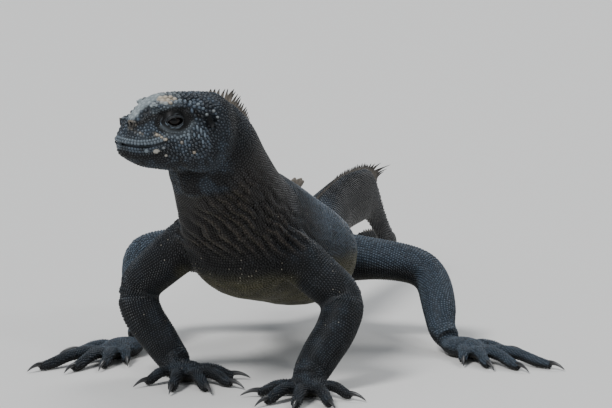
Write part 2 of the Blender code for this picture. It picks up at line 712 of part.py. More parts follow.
def body_parts():
    """Neck, trunk, tail and limbs, modelled as one body and cut apart."""
    ridge = ball("ridge", at(*BACK_RIDGE[:3]), Matrix.Identity(3), BACK_RIDGE[3:])
    pieces = [spine_form(), head_form(), ridge]
    soft = [(head_point(46, 0, 0), 26)]
    for side, inner in (("left", -1), ("right", 1)):
        pieces.append(limb_form(f"arm_{side}", ARMS[side]))
        pieces.append(limb_form(f"leg_{side}", LEGS[side]))
        pieces += pad_forms(f"hand_{side}", HANDS[side], FINGERS, inner)
        pieces += pad_forms(f"foot_{side}", FEET[side], TOES, inner)
        soft += [(at(*ARMS[side][1][:3]), 20), (at(*LEGS[side][1][:3]), 24)]
    body = melted("body", pieces, BODY_VOXEL, soft, 24, BODY_FACES)
    boolean(body, [floor_block()], "DIFFERENCE")

    cuts = [spine_cut(NECK_CUT, 34), spine_cut(CHEST_CUT, 50), spine_cut(TRUNK_CUT, 60)]
    cuts += [spine_cut(place, 26) for place in TAIL_CUTS]
    middles = {"skull": head_point(20, 0, 0), "neck": at(*SPINE[2][:3]), "chest": at(*SPINE[5][:3]),
               "loin": at(*SPINE[8][:3])}
    edges = [*TAIL_CUTS, len(SPINE) - 1]
    for k in range(len(TAIL_CUTS)):
        middles[f"tail_{k + 1}"] = at(*smooth_row(SPINE, (edges[k] + edges[k + 1]) / 2)[:3])
    for side in ("left", "right"):
        cuts += [limb_cut(ARMS[side], *cut) for cut in ARM_CUTS]
        cuts += [limb_cut(LEGS[side], *cut) for cut in LEG_CUTS]
        middles[f"forearm_{side}"] = at(*smooth_row(ARMS[side], 4.6)[:3])
        middles[f"shank_{side}"] = at(*smooth_row(LEGS[side], 5)[:3])
        for name, pad in (("hand", HANDS[side]), ("foot", FEET[side])):
            middle, ahead, _ = foot_frame(pad)
            middles[f"{name}_{side}"] = middle + ahead * 12 * U
    parts = cut_apart(body, cuts)
    nodes = {name: nearest_part(parts, point) for name, point in middles.items()}
    for crumb in parts:
        bpy.data.objects.remove(crumb)
    bpy.data.objects.remove(nodes.pop("skull"))

    for limb, trunk, tables, first, last in (
        ("upper_arm", "chest", ARMS, 0.9, 3.4),
        ("thigh", "loin", LEGS, 1.1, 3.8),
    ):
        for side in ("left", "right"):
            plug = socket("plug", tables[side], first, last, SOCKET_MARGIN)
            nodes[f"{limb}_{side}"] = largest_part(
                boolean(copy_of(nodes[trunk], limb), [plug], "INTERSECT"))
            hole = socket("hole", tables[side], first - 0.02, last, SOCKET_MARGIN + GAP / U)
            nodes[trunk] = largest_part(boolean(nodes[trunk], [hole], "DIFFERENCE"))
    return nodes


def head_part(rng):
    """The head, finer than the body, with its neck's end cut to meet the neck."""
    head = melted("head", [head_form(), *head_features(), spine_form(4)], HEAD_VOXEL,
                  [(head_point(46, 0, 0), 26)], 30, HEAD_FACES, 0.2)
    boolean(head, [slab(*spine_cut(NECK_CUT, 40))], "DIFFERENCE")
    parts = loose_parts(head)
    head = nearest_part(parts, head_point(20, 0, 0))
    for rest in parts:
        bpy.data.objects.remove(rest)
    boolean(head, head_cutters(), "DIFFERENCE")
    head = largest_part(head)
    return set_on(head, lambda node, nudge: head_cones(node, nudge, rng) + head_crest(node, nudge, rng)
                  + crest_spikes(node, 0.25, NECK_CUT, nudge, *CREST["neck"], rng))


def main():
    clear_scene()
    rng = random.Random(SEED)
    nodes = body_parts()
    nodes["head"] = head_part(rng)

    borders = [NECK_CUT, CHEST_CUT, TRUNK_CUT, *TAIL_CUTS, len(SPINE) - 1.5]
    for k, name in enumerate(["neck", "chest", "loin", "tail_1", "tail_2", "tail_3", "tail_4"]):
        sizes = CREST["neck" if k == 0 else "back" if k < 3 else "tail"]
        ends = borders[k:k + 2]
        nodes[name] = set_on(nodes[name], lambda node, nudge: crest_spikes(node, *ends, nudge, *sizes, rng))
    for side, inner in (("left", -1), ("right", 1)):
        boolean(nodes[f"hand_{side}"], claw_forms("hand", HANDS[side], FINGERS, inner), "UNION")
        boolean(nodes[f"foot_{side}"], claw_forms("foot", FEET[side], TOES, inner), "UNION")

    along, left, up = head_axes()
    for side, sign in (("left", 1), ("right", -1)):
        back, out, above = EYE
        nodes[f"eye_{side}"] = ball("eye", head_point(back, sign * out, above), (along, left * sign, up),
                                    (EYE_RADIUS,) * 3, 8)

    group = bpy.data.collections.new("marine_iguana")
    bpy.context.scene.collection.children.link(group)
    for name, node in nodes.items():
        node = largest_part(node)
        triangulated(node)
        node.name = node.data.name = name
        for holder in list(node.users_collection):
            holder.objects.unlink(node)
        group.objects.link(node)
        for face in node.data.polygons:
            face.use_smooth = True
        colour, roughness = (EYE_COLOUR, 0.1) if name.startswith("eye") else (SKIN_COLOUR, 0.6)
        paint(node, colour, roughness)


if __name__ == "__main__":
    main()
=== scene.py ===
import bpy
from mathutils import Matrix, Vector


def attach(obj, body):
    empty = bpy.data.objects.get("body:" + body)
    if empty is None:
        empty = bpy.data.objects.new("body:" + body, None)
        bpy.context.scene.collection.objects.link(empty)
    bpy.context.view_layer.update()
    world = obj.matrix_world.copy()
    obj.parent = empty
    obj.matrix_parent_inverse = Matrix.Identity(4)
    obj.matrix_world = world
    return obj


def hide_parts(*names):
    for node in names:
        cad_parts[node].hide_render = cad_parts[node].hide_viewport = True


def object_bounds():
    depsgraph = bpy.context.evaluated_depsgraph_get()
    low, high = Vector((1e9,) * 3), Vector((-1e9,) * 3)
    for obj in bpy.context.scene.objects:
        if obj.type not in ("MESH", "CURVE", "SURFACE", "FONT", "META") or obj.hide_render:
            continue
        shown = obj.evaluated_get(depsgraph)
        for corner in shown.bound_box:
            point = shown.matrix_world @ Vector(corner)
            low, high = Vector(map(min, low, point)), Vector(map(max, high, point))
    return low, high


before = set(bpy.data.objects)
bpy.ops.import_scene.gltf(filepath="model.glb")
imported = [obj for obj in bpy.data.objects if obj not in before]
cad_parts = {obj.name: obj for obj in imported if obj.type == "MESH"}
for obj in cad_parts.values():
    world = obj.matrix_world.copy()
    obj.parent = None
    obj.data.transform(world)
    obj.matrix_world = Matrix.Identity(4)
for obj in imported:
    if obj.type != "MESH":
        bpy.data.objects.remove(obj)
cadBox = [list(corner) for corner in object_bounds()]

import math
import random

import bmesh
import bpy
import numpy as np
from mathutils import Matrix, Vector, noise
from mathutils.bvhtree import BVHTree
from mathutils.kdtree import KDTree

# Marine iguana at life size, standing, its head turned to its right.
# The body below repeats the sizes of the solids, so the skin lies just inside them.

animal = {
    "snoutToVent": 0.250,   # metres, the driving size; the tables are in mm for an animal of 250 mm
    "origin": (-1.5, 62.8),   # the tables' point that lies at x = y = 0
    "coatDepth": 0.42,   # mm from the solids in to the bare skin
    "seed": 7,
}
unit = animal["snoutToVent"] / 250
dice = random.Random(animal["seed"])
draw = np.random.default_rng(animal["seed"])

spine = {
    # x, y, z of the middle; turn in degrees; half width; height above; depth below
    "rows": (
        (-45, -166, 118, 66, 14.5, 19, 16), (-38, -160, 107, 58, 17, 22, 21),
        (-33.5, -149, 94, 42, 21.5, 22.5, 21.5), (-29, -135, 79, 28, 25, 25.5, 23),
        (-24, -120, 66, 19, 28, 31, 28), (-16, -95, 59, 16, 31, 28, 28),
        (-4.5, -68, 51, 6, 30.5, 22.5, 26), (-6, -40, 44, -2, 30.5, 20, 24),
        (-8, -12, 38, -3, 22.5, 17.5, 20), (-4, 10, 40, 12, 16, 16, 16),
        (4, 32, 43, 14, 12.5, 16, 15), (12, 62, 47, 15, 9.5, 16.5, 15),
        (20, 95, 50, 16, 7.0, 16.5, 13.5), (29, 130, 50, 16, 5.2, 16, 13),
        (34.5, 158, 47.5, 15, 4.0, 14.5, 12.5), (39, 182, 37, 12, 2.9, 12, 11),
        (43.5, 200, 24, 10, 2.6, 10, 9.5), (48, 222, 11.5, 6, 2.8, 9, 12.0),
        (50, 250, 7.6, -4, 3.0, 7.6, 8.6), (46, 280, 5.6, -14, 2.6, 6.2, 6.4),
        (39, 306, 3.9, -22, 2.0, 4.5, 4.7), (31, 325, 2.2, -26, 1.2, 2.2, 2.9),
    ),
    "sides": 32, "squareness": 2.15,
    # ridge of the back under its tallest spines: middle; half width, length and height
    "ridge": (-2, -70, 72.5), "ridgeRadii": (5.0, 26, 7.5),
}

head = {
    "tip": (-76.5, -180, 112), "turn": 70, "pitch": 6,   # degrees to its right, and down
    # distance back from the snout, half width, height above the axis, depth below it
    "rows": (
        (0.0, 2.6, 2.4, 3.4), (1.0, 5.0, 4.2, 5.2), (3.0, 7.4, 6.8, 7.0), (6.0, 9.0, 10.2, 9.2),
        (10.0, 10.3, 14.0, 11.4), (15.0, 11.8, 17.4, 12.8), (20.0, 13.2, 19.0, 14.1),
        (26.0, 14.6, 18.6, 15.4), (33.0, 16.2, 17.8, 16.8), (40.0, 16.4, 17.2, 16.6),
        (46.0, 14.6, 16.0, 13.5), (51.0, 9.0, 11.0, 8.0),
    ),
    "squareness": 2.5,
    "eye": (22.6, 10.6, 8.0), "eyeRadius": 4.1, "eyeOpening": (3.7, 2.6),   # back, out, above
    "nostril": (4.4, 8.0, 8.5), "nostrilRadius": 1.25, "noseRadii": (2.9, 2.6, 2.7),
    "ear": (37.6, 16.4, 6.2), "throat": (35, 0, -18.5), "throatRadii": (11, 9.5, 10.5),
    # corner's distance back; mouth line below the axis, at the front and by distance and its square
    "mouthCorner": 19.0, "mouthCurve": (-0.8, 0.47, -0.0221), "mouthSteps": 45,
}

limbs = {
    # x, y, z and radius from inside the body to the wrist or ankle
    "armLeft": ((-16, -124, 68, 12), (-6, -131, 61, 11.5), (8, -134, 49, 10.4), (19, -134, 38, 9.7),
                (17, -142, 27, 9.3), (10.5, -149, 17, 8.8), (6, -155, 10, 8.2), (4, -161, 6.5, 7.0)),
    "armRight": ((-40, -119, 68, 12), (-50, -117, 61, 11.5), (-62, -114, 51, 10.4), (-72.5, -112, 40, 9.6),
                 (-71.5, -114, 29, 9.4), (-64, -117, 18, 8.6), (-58, -120, 10, 7.7), (-54, -124, 6.5, 6.8)),
    "legLeft": ((-2, -12, 38, 15), (10, -13, 39, 14), (34, -18, 39, 10.4), (54, -22, 36.5, 9.3),
                (63, -28, 30.5, 8.6), (66, -43, 20, 8.2), (67, -54, 11, 6.8), (70, -61, 7, 6.2)),
    "legRight": ((-14, -12, 38, 15), (-26, -13, 40, 14), (-49, -17, 43, 11.5), (-71.5, -20, 43, 9.8),
                 (-78.5, -25, 38, 9.0), (-77, -41, 24, 8.4), (-75.5, -53, 12, 6.8), (-77.5, -60, 7, 6.2)),
}

feet = {
    # palm or sole: x, y, heading in degrees, half length, half width
    "pads": {"armLeft": (4, -163, -4, 9, 9), "armRight": (-51, -129, 16, 9, 9),
             "legLeft": (77, -70, 42, 14.5, 7.8), "legRight": (-84, -72, -36, 14.5, 7.8)},
    "padHeight": 5.2,
    # turn from the heading, root's place along and across, length, radius; inner digit first
    "fingers": ((78, 0, 5, 17, 2.7), (34, 5, 5, 20, 2.8), (5, 7, 1, 22, 2.9), (-22, 6, -4, 21, 2.8),
                (-60, 0, -6, 16, 2.6)),
    "toes": ((44, 4, 5, 14, 2.6), (25, 10, 4.5, 21, 2.8), (9, 12, 1.5, 30, 2.9), (-8, 11, -2.5, 38, 2.9),
             (-52, -2, -6, 19, 2.5)),
    "arch": ((0.0, 4.2), (0.28, 5.6), (0.55, 4.8), (0.8, 2.7), (1.0, 2.0)),   # share of length, height
}

claws = {"length": 7.6, "radius": 1.15, "tip": 0.16, "steps": 9, "sides": 10}


def digitsOf(limb):
    # digit table of a limb, and the side its inner digit lies on
    return feet["fingers" if limb.startswith("arm") else "toes"], -1 if limb.endswith("Left") else 1


def atPoint(x, y, z):
    # a point of the tables, in metres
    return Vector((x - animal["origin"][0], y - animal["origin"][1], z)) * unit


def smoothRow(rows, place):
    # the row at a place along a table, on a smooth curve through its rows
    i = min(int(place), len(rows) - 2)
    t = place - i
    p = [rows[max(0, min(len(rows) - 1, k))] for k in (i - 1, i, i + 1, i + 2)]
    return tuple(
        0.5 * (2 * b + (c - a) * t + (2 * a - 5 * b + 4 * c - d) * t**2 + (3 * b - a - 3 * c + d) * t**3)
        for a, b, c, d in zip(*p)
    )


def frameAt(rows, place, turned=True):
    # middle, direction back along a table, left and up at a place
    row = smoothRow(rows, place)
    ahead = atPoint(*smoothRow(rows, min(place + 0.05, len(rows) - 1))[:3])
    behind = atPoint(*smoothRow(rows, max(place - 0.05, 0))[:3])
    along = (ahead - behind).normalized()
    if turned:
        angle = math.radians(row[3])
        left = Vector((math.cos(angle), -math.sin(angle), 0))
    else:
        left = Vector((0, 0, 1)).cross(along)
        if left.length < 0.2:
            left = Vector((1, 0, 0))
    left = (left - along * left.dot(along)).normalized()
    return atPoint(*row[:3]), along, left, left.cross(along).normalized()


def headAxes():
    # axis of the head back from the snout, its left and its up
    turn, pitch = math.radians(head["turn"]), math.radians(head["pitch"])
    ahead = Vector((-math.sin(turn), -math.cos(turn), 0))
    left = Vector((math.cos(turn), -math.sin(turn), 0))
    along = -(ahead * math.cos(pitch) - Vector((0, 0, math.sin(pitch))))
    return along, left, left.cross(along).normalized()


headAlong, headLeft, headUp = headAxes()
snout = atPoint(*head["tip"])


def headPoint(back, out, above):
    return snout + (headAlong * back + headLeft * out + headUp * above) * unit


def ringPoints(middle, left, up, half, above, below, sides, squareness=2.0):
    # points round one section, taller or flatter above than below
    points = []
    for k in range(sides):
        angle = 2 * math.pi * k / sides
        c, s = math.cos(angle), math.sin(angle)
        power = 2 / squareness
        across = math.copysign(abs(c) ** power, c) * half
        height = math.copysign(abs(s) ** power, s) * (above if s > 0 else below)
        points.append(middle + (left * across + up * height) * unit)
    return points


def toObject(name, bm):
    # makes a mesh object of closed pieces, with their faces outward
    if bm.calc_volume(signed=True) < 0:
        bmesh.ops.reverse_faces(bm, faces=bm.faces)
    mesh = bpy.data.meshes.new(name)
    bm.to_mesh(mesh)
    bm.free()
    obj = bpy.data.objects.new(name, mesh)
    bpy.context.scene.collection.objects.link(obj)
    return obj


def loft(bm, rings, closedLoop=False):
    # skins rings of points: each is a circle, bridged to the one before; the ends are filled
    made = []
    for points in rings:
        circle = bmesh.ops.create_circle(bm, cap_ends=False, segments=len(points), radius=1)["verts"]
        for vert, point in zip(circle, points):
            vert.co = point
        made.append(circle)
    pairs = list(zip(made, made[1:]))
    if closedLoop:
        pairs.append((made[-1], made[0]))
    for one, other in pairs:
        for k in range(len(one)):
            n = (k + 1) % len(one)
            bm.faces.new((one[k], one[n], other[n], other[k]))
    if not closedLoop:
        bm.faces.new(made[0])
        bm.faces.new(made[-1])
    return [vert for circle in made for vert in circle]


def lofted(name, rings, closedLoop=False):
    bm = bmesh.new()
    loft(bm, rings, closedLoop)
    bmesh.ops.recalc_face_normals(bm, faces=bm.faces)
    return toObject(name, bm)


def ball(name, middle, axes, radii, rings=14):
    bm = bmesh.new()
    bmesh.ops.create_uvsphere(bm, u_segments=2 * rings, v_segments=rings, radius=1)
    turn = Matrix([[axis[k] for axis in axes] for k in range(3)]).to_4x4()
    scale = Matrix.Diagonal([radius * unit for radius in radii] + [1])
    bmesh.ops.transform(bm, matrix=Matrix.Translation(middle) @ turn @ scale, verts=bm.verts)
    bmesh.ops.recalc_face_normals(bm, faces=bm.faces)
    return toObject(name, bm)


def tubeRings(points, radii, sides, closedLoop=False, flat=1.0, side=None):
    # rings round a path, the side direction kept level or as given
    rings = []
    last = len(points) - 1
    for i, point in enumerate(points):
        before = points[i - 1] if closedLoop or i else point
        after = points[(i + 1) % len(points)] if closedLoop or i < last else point
        along = (after - before).normalized()
        left = side if side is not None else Vector((0, 0, 1)).cross(along)
        left = left - along * left.dot(along)
        left = left.normalized() if left.length > 0.1 else Vector((1, 0, 0))
        radius = radii[i]
        up = left.cross(along).normalized()
        rings.append(ringPoints(point, left, up, radius * flat, radius, radius, sides))
    return rings


def tube(name, points, radii, sides):
    return lofted(name, tubeRings(points, radii, sides))


def joined(name, objs):
    bm = bmesh.new()
    for obj in objs:
        bm.from_mesh(obj.data)
        bpy.data.objects.remove(obj)
    return toObject(name, bm)


def applyModifiers(obj):
    graph = bpy.context.evaluated_depsgraph_get()
    mesh = bpy.data.meshes.new_from_object(obj.evaluated_get(graph), depsgraph=graph)
    obj.modifiers.clear()
    old = obj.data
    obj.data = mesh
    bpy.data.meshes.remove(old)
    return obj


def coordinates(mesh):
    points = np.empty(len(mesh.vertices) * 3, np.float32)
    mesh.vertices.foreach_get("co", points)
    return points.reshape(-1, 3).astype(float)


def normalsOf(mesh):
    found = np.empty(len(mesh.vertices) * 3, np.float32)
    mesh.vertex_normals.foreach_get("vector", found)
    return found.reshape(-1, 3).astype(float)


def ramp(values, low, high):
    # 0 below low, 1 above high, smooth between; also falling where low is above high
    share = np.clip((np.asarray(values, float) - low) / (high - low), 0, 1)
    return share * share * (3 - 2 * share)


def bell(values, middle, width):
    return np.exp(-(((np.asarray(values, float) - middle) / width) ** 2))


def gapTo(points, spot):
    # distance in mm from each point to a spot
    return np.linalg.norm(points - np.array(spot), axis=1) / unit


def storeValue(mesh, name, values):
    layer = mesh.attributes.new(name, "FLOAT", "POINT")
    layer.data.foreach_set("value", np.array(values, np.float32))


def dressed(obj, material, **values):
    # smooth shading, the material and the values it reads from the piece
    for face in obj.data.polygons:
        face.use_smooth = True
    for name, found in values.items():
        storeValue(obj.data, name, found)
    obj.data.materials.append(material)
    return obj


# Axes of the body, sampled, so that many points can be told where they lie along and round it

def sampledAxis(rows, turned, perRow=10):
    found = {"place": [], "middle": [], "along": [], "left": [], "up": [], "row": []}
    for k in range((len(rows) - 1) * perRow + 1):
        place = k / perRow
        middle, along, left, up = frameAt(rows, place, turned)
        for key, value in zip(found, (place, middle, along, left, up, smoothRow(rows, place))):
            found[key].append(tuple(value) if key not in ("place",) else value)
    axis = {key: np.array(value, float) for key, value in found.items()}
    steps = np.linalg.norm(np.diff(axis["middle"], axis=0), axis=1) / unit
    axis["length"] = np.concatenate([[0], np.cumsum(steps)])   # mm along
    return axis


axes = {"spine": sampledAxis(spine["rows"], True)}
for limbName, limbRows in limbs.items():
    axes[limbName] = sampledAxis(limbRows, False)


def onAxis(points, name):
    # nearest sample on an axis, its distance in mm and the angle round it, from its left towards its up
    axis = axes[name]
    nearest = np.empty(len(points), int)
    distance = np.empty(len(points))
    for start in range(0, len(points), 20000):
        some = points[start:start + 20000]
        gaps = ((some[:, None, :] - axis["middle"][None, :, :]) ** 2).sum(2)
        nearest[start:start + 20000] = gaps.argmin(1)
        distance[start:start + 20000] = np.sqrt(gaps.min(1))
    away = points - axis["middle"][nearest]
    angle = np.arctan2((away * axis["up"][nearest]).sum(1), (away * axis["left"][nearest]).sum(1))
    return nearest, distance / unit, angle


def inHead(points):
    # back from the snout, out to the left and above the head's axis, in mm
    away = (points - np.array(snout)) / unit
    return away @ np.array(headAlong), away @ np.array(headLeft), away @ np.array(headUp)


# Skin

skinShape = {
    "voxel": 0.62, "rounds": 70, "least": 0.12, "leastHead": 0.07,   # mm; smoothing and its least weights
    "triangles": 186000,
    "floorGap": 0.00005,   # metres between the floor and the skin
    # folds of the throat and neck: direction across them, spacing, depth, how far they sink and wander
    "foldAcross": (0.66, 0.10, 0.74), "foldSpacing": 3.7,
    "foldDepth": 1.1, "foldSink": 0.72, "foldWander": 2.8,
    "foldLow": (55, 66),   # heights between which the folds fade out on the chest
}


def headSection(back):
    rows = head["rows"]
    for k in range(len(rows) - 1):
        if back <= rows[k + 1][0]:
            return smoothRow(rows, k + (back - rows[k][0]) / (rows[k + 1][0] - rows[k][0]))[1:]
    return rows[-1][1:]


def headSide(back, above):
    # how far out the head's side lies at a height above its axis
    half, top, low = headSection(back)
    share = min(abs(above) / (top if above > 0 else low), 0.999)
    return half * (1 - share ** head["squareness"]) ** (1 / head["squareness"])


def mouthDrop(back):
    front, slope, bend = head["mouthCurve"]
    return front + slope * back + bend * back**2


def mouthPath(raised, inset, steps):
    # points along the mouth line, from its left corner round the snout to the right one
    points = []
    for k in range(steps):
        share = 2 * k / (steps - 1) - 1
        back = head["mouthCorner"] * abs(share) ** 1.6
        above = raised - mouthDrop(back)
        front = min(1, abs(share) * 6)
        out = max(0, headSide(back, above) - inset) * front
        points.append(headPoint(back + inset * (1 - front), math.copysign(out, -share), above))
    return points


def spineForm():
    rings = []
    for k in range((len(spine["rows"]) - 1) * 4 + 1):
        row = smoothRow(spine["rows"], k / 4)
        middle, _, left, up = frameAt(spine["rows"], k / 4)
        rings.append(ringPoints(middle, left, up, *row[4:7], sides=spine["sides"],
                                squareness=spine["squareness"]))
    return lofted("spineForm", rings)


def headForm():
    rings = []
    for k in range((len(head["rows"]) - 1) * 3 + 1):
        row = smoothRow(head["rows"], k / 3)
        rings.append(ringPoints(headPoint(row[0], 0, 0), headLeft, headUp, *row[1:], sides=40,
                                squareness=head["squareness"]))
    return lofted("headForm", rings)


def headFeatures():
    # brows, lids, cheeks, lips and the rims of the nostrils, laid on the head's loft
    made = []
    for side in (1, -1):
        out = headLeft * side
        around = (headAlong, out, headUp)
        back, across, above = head["eye"]
        lidRadii = (head["eyeRadius"] + 1.5,) * 3
        made.append(ball("lid", headPoint(back, side * across, above), around, lidRadii))
        tilt = (headAlong * 0.985 - headUp * 0.17).normalized()
        made.append(ball("brow", headPoint(back - 0.5, side * (across - 0.2), above + 6.0),
                         (tilt, out, tilt.cross(out)), (9.5, 3.4, 2.3)))
        made.append(ball("cheek", headPoint(34, side * 11.0, -6.0), around, (11.5, 5.8, 10)))
        made.append(ball("temple", headPoint(34, side * 10.6, 9.5), around, (9, 4.8, 5.5)))
        back, across, above = head["nostril"]
        middle = headPoint(back + 2.0, side * (across - 2.2), above - 0.4)
        made.append(ball("nose", middle, around, head["noseRadii"]))
    steps = head["mouthSteps"]
    taper = [min(1, 0.3 + 5 * min(k, steps - 1 - k) / steps) for k in range(steps)]
    made.append(tube("lipUpper", mouthPath(1.5, 0.9, steps), [1.25 * t for t in taper], 10))
    made.append(tube("lipLower", mouthPath(-1.3, 1.0, steps), [0.9 * t for t in taper], 10))
    around = (headAlong, headLeft, headUp)
    made.append(ball("throat", headPoint(*head["throat"]), around, head["throatRadii"]))
    return made


def footFrame(pad):
    angle = math.radians(pad[2])
    ahead = Vector((math.sin(angle), -math.cos(angle), 0))
    return atPoint(pad[0], pad[1], 0), ahead, Vector((-ahead.y, ahead.x, 0))


def digitPath(pad, digit, inner):
    # points along a digit from inside the pad to the end of its flesh, and its heading
    middle, ahead, left = footFrame(pad)
    angle = math.radians(digit[0]) * inner
    heading = ahead * math.cos(angle) + left * math.sin(angle)
    root = middle + (ahead * digit[1] + left * digit[2] * inner) * unit
    up = Vector((0, 0, 1))
    points = [root + (heading * digit[3] * share + up * height) * unit for share, height in feet["arch"]]
    return points, heading


def footForms(limb):
    digits, inner = digitsOf(limb)
    pad = feet["pads"][limb]
    middle, ahead, left = footFrame(pad)
    up = Vector((0, 0, 1))
    made = [ball("pad", middle + up * feet["padHeight"] * 0.86 * unit, (ahead, left, up),
                 (pad[3], pad[4], feet["padHeight"]))]
    for digit in digits:
        points, _ = digitPath(pad, digit, inner)
        made.append(tube("digit", points, [digit[4] * share for share in (1.1, 1.05, 1.0, 0.95, 0.72)], 12))
    return made


def limbForm(rows):
    steps = 4
    points, radii = [], []
    for k in range((len(rows) - 1) * steps + 1):
        row = smoothRow(rows, k / steps)
        points.append(atPoint(*row[:3]))
        radii.append(row[3])
    return tube("limb", points, radii, 20)


def cutHoles(skin):
    # takes the eye openings, nostrils, ear cups and the mouth line from the head in one Boolean
    steps = head["mouthSteps"]
    tools = [tube("mouthLine", mouthPath(0, 0.15, steps), [0.38] * steps, 6)]
    for side in (1, -1):
        around = (headAlong, headLeft * side, headUp)
        back, out, above = head["eye"]
        socket = (head["eyeRadius"] + 0.1,) * 3
        tools.append(ball("socket", headPoint(back, side * out, above), around, socket, 12))
        tools.append(ball("opening", headPoint(back, side * (out + head["eyeRadius"] + 0.8), above), around,
                          (head["eyeOpening"][0], 3.2, head["eyeOpening"][1]), 14))
        back, out, above = head["nostril"]
        hole = (head["nostrilRadius"] * 1.2, 2.2, head["nostrilRadius"])
        tools.append(ball("nostril", headPoint(back, side * out, above), around, hole, 10))
        back, _, above = head["ear"]
        middle = headPoint(back, side * headSide(back, above), above)
        tools.append(ball("ear", middle, around, (2.0, 1.7, 3.3), 12))
    group = bpy.data.collections.new("tools")
    for tool in tools:
        bpy.context.scene.collection.objects.unlink(tool)
        group.objects.link(tool)
    bpy.context.scene.collection.children.link(group)
    cut = skin.modifiers.new("cut", "BOOLEAN")
    cut.operation, cut.solver = "DIFFERENCE", "MANIFOLD"
    cut.operand_type, cut.collection = "COLLECTION", group
    applyModifiers(skin)
    for tool in tools:
        bpy.data.objects.remove(tool)
    bpy.data.collections.remove(group)


def wander(points, size, seed):
    # smooth noise of about -1 to 1 at points in metres, its lumps of that size in mm
    shift = Vector((seed * 3.7, seed * 1.3, seed * 5.1))
    scale = 1 / (size * unit)
    return np.array([noise.noise(Vector(p) * scale + shift) for p in points])


def foldField(points):
    # height of the throat and neck folds, -1 to 1, and where they are, 0 to 1
    nearest, distance, angle = onAxis(points, "spine")
    place = axes["spine"]["place"][nearest]
    back = inHead(points)[0]
    fromThroat = np.abs(np.mod(angle + math.pi / 2 + math.pi, 2 * math.pi) - math.pi)   # 0 under, pi on top
    where = ramp(place, 0.9, 1.7) * ramp(place, 5.0, 3.6) * ramp(fromThroat, 2.15, 1.2) * ramp(back, 30, 40)
    where *= ramp(distance / axes["spine"]["row"][nearest][:, 4:7].mean(1), 1.3, 1.12)   # not on the arms
    where *= ramp(points[:, 2] / unit, *skinShape["foldLow"])
    height = np.zeros(len(points))
    some = np.flatnonzero(where > 0.01)
    spots = points[some]
    drift = wander(spots, 15, 1) * skinShape["foldWander"] + wander(spots, 5, 2) * 0.8
    phase = (spots @ np.array(skinShape["foldAcross"]) / unit + drift) / skinShape["foldSpacing"]
    ridge = 1 - 2 * np.abs(np.sin(math.pi * phase)) ** 1.4   # narrow crests, wide furrows
    broken = ramp(wander(spots, 10, 3), -0.7, -0.05)
    height[some] = -ridge * broken
    return height, where


def makeSkin():
    # flesh of the whole animal as one closed skin
    ridge = ball("ridge", atPoint(*spine["ridge"]), Matrix.Identity(3), spine["ridgeRadii"])
    pieces = [spineForm(), headForm(), *headFeatures(), ridge]
    soft, gentle = [(headPoint(46, 0, 0), 26)], []
    for limb, rows in limbs.items():
        pieces.append(limbForm(rows))
        pieces += footForms(limb)
        soft.append((atPoint(*rows[1][:3]), 20 if limb.startswith("arm") else 24))
        gentle += [(atPoint(*rows[k][:3]), 15) for k in (3, 4, 6, 7)]   # elbow or knee, and wrist or ankle
    skin = joined("skin", pieces)
    remesh = skin.modifiers.new("remesh", "REMESH")
    remesh.mode = "VOXEL"
    remesh.voxel_size = skinShape["voxel"] * unit
    applyModifiers(skin)
    points = coordinates(skin.data)
    back = inHead(points)[0]
    nearHead = ramp(back, 46, 38) * ramp(gapTo(points, headPoint(20, 0, 0)), 42, 36)
    weight = skinShape["least"] + (skinShape["leastHead"] - skinShape["least"]) * nearHead
    for spot, reach in soft:
        weight = np.maximum(weight, 1.6 * (1 - gapTo(points, spot) / reach))
    for spot, reach in gentle:
        weight = np.maximum(weight, 0.9 * ramp(gapTo(points, spot), reach, 0.4 * reach))
    weight = np.minimum(weight, 1)
    group = skin.vertex_groups.new(name="soft")
    for level in np.unique(np.round(weight, 2)):
        group.add([int(i) for i in np.flatnonzero(np.round(weight, 2) == level)], float(level), "REPLACE")
    smooth = skin.modifiers.new("smooth", "SMOOTH")
    smooth.factor, smooth.iterations, smooth.vertex_group = 0.6, skinShape["rounds"], "soft"
    applyModifiers(skin)
    # the head keeps its fine mesh, the rest is thinned
    coarse = skin.vertex_groups.new(name="coarse")
    for level in (0.25, 1.0):
        picked = np.flatnonzero((nearHead < 0.5) == (level == 1.0))
        coarse.add([int(i) for i in picked], level, "REPLACE")
    thin = skin.modifiers.new("thin", "DECIMATE")
    thin.ratio = min(1, skinShape["triangles"] / (2 * len(skin.data.polygons)))
    thin.vertex_group, thin.vertex_group_factor = "coarse", 4
    thin.use_collapse_triangulate = True
    applyModifiers(skin)
    skin.vertex_groups.clear()
    cutHoles(skin)
    # in by the coat's depth, out again on the folds, and flat where it rests on the floor
    points, normals = coordinates(skin.data), normalsOf(skin.data)
    height, where = foldField(points)
    lift = height * where * skinShape["foldDepth"] - skinShape["foldSink"] * where - animal["coatDepth"]
    points += normals * (lift * unit)[:, None]
    points[:, 2] = np.maximum(points[:, 2], skinShape["floorGap"])
    skin.data.vertices.foreach_set("co", points.astype(np.float32).ravel())
    skin.data.update()
    return skin


# Markings, read by the skin and by each scale at its root

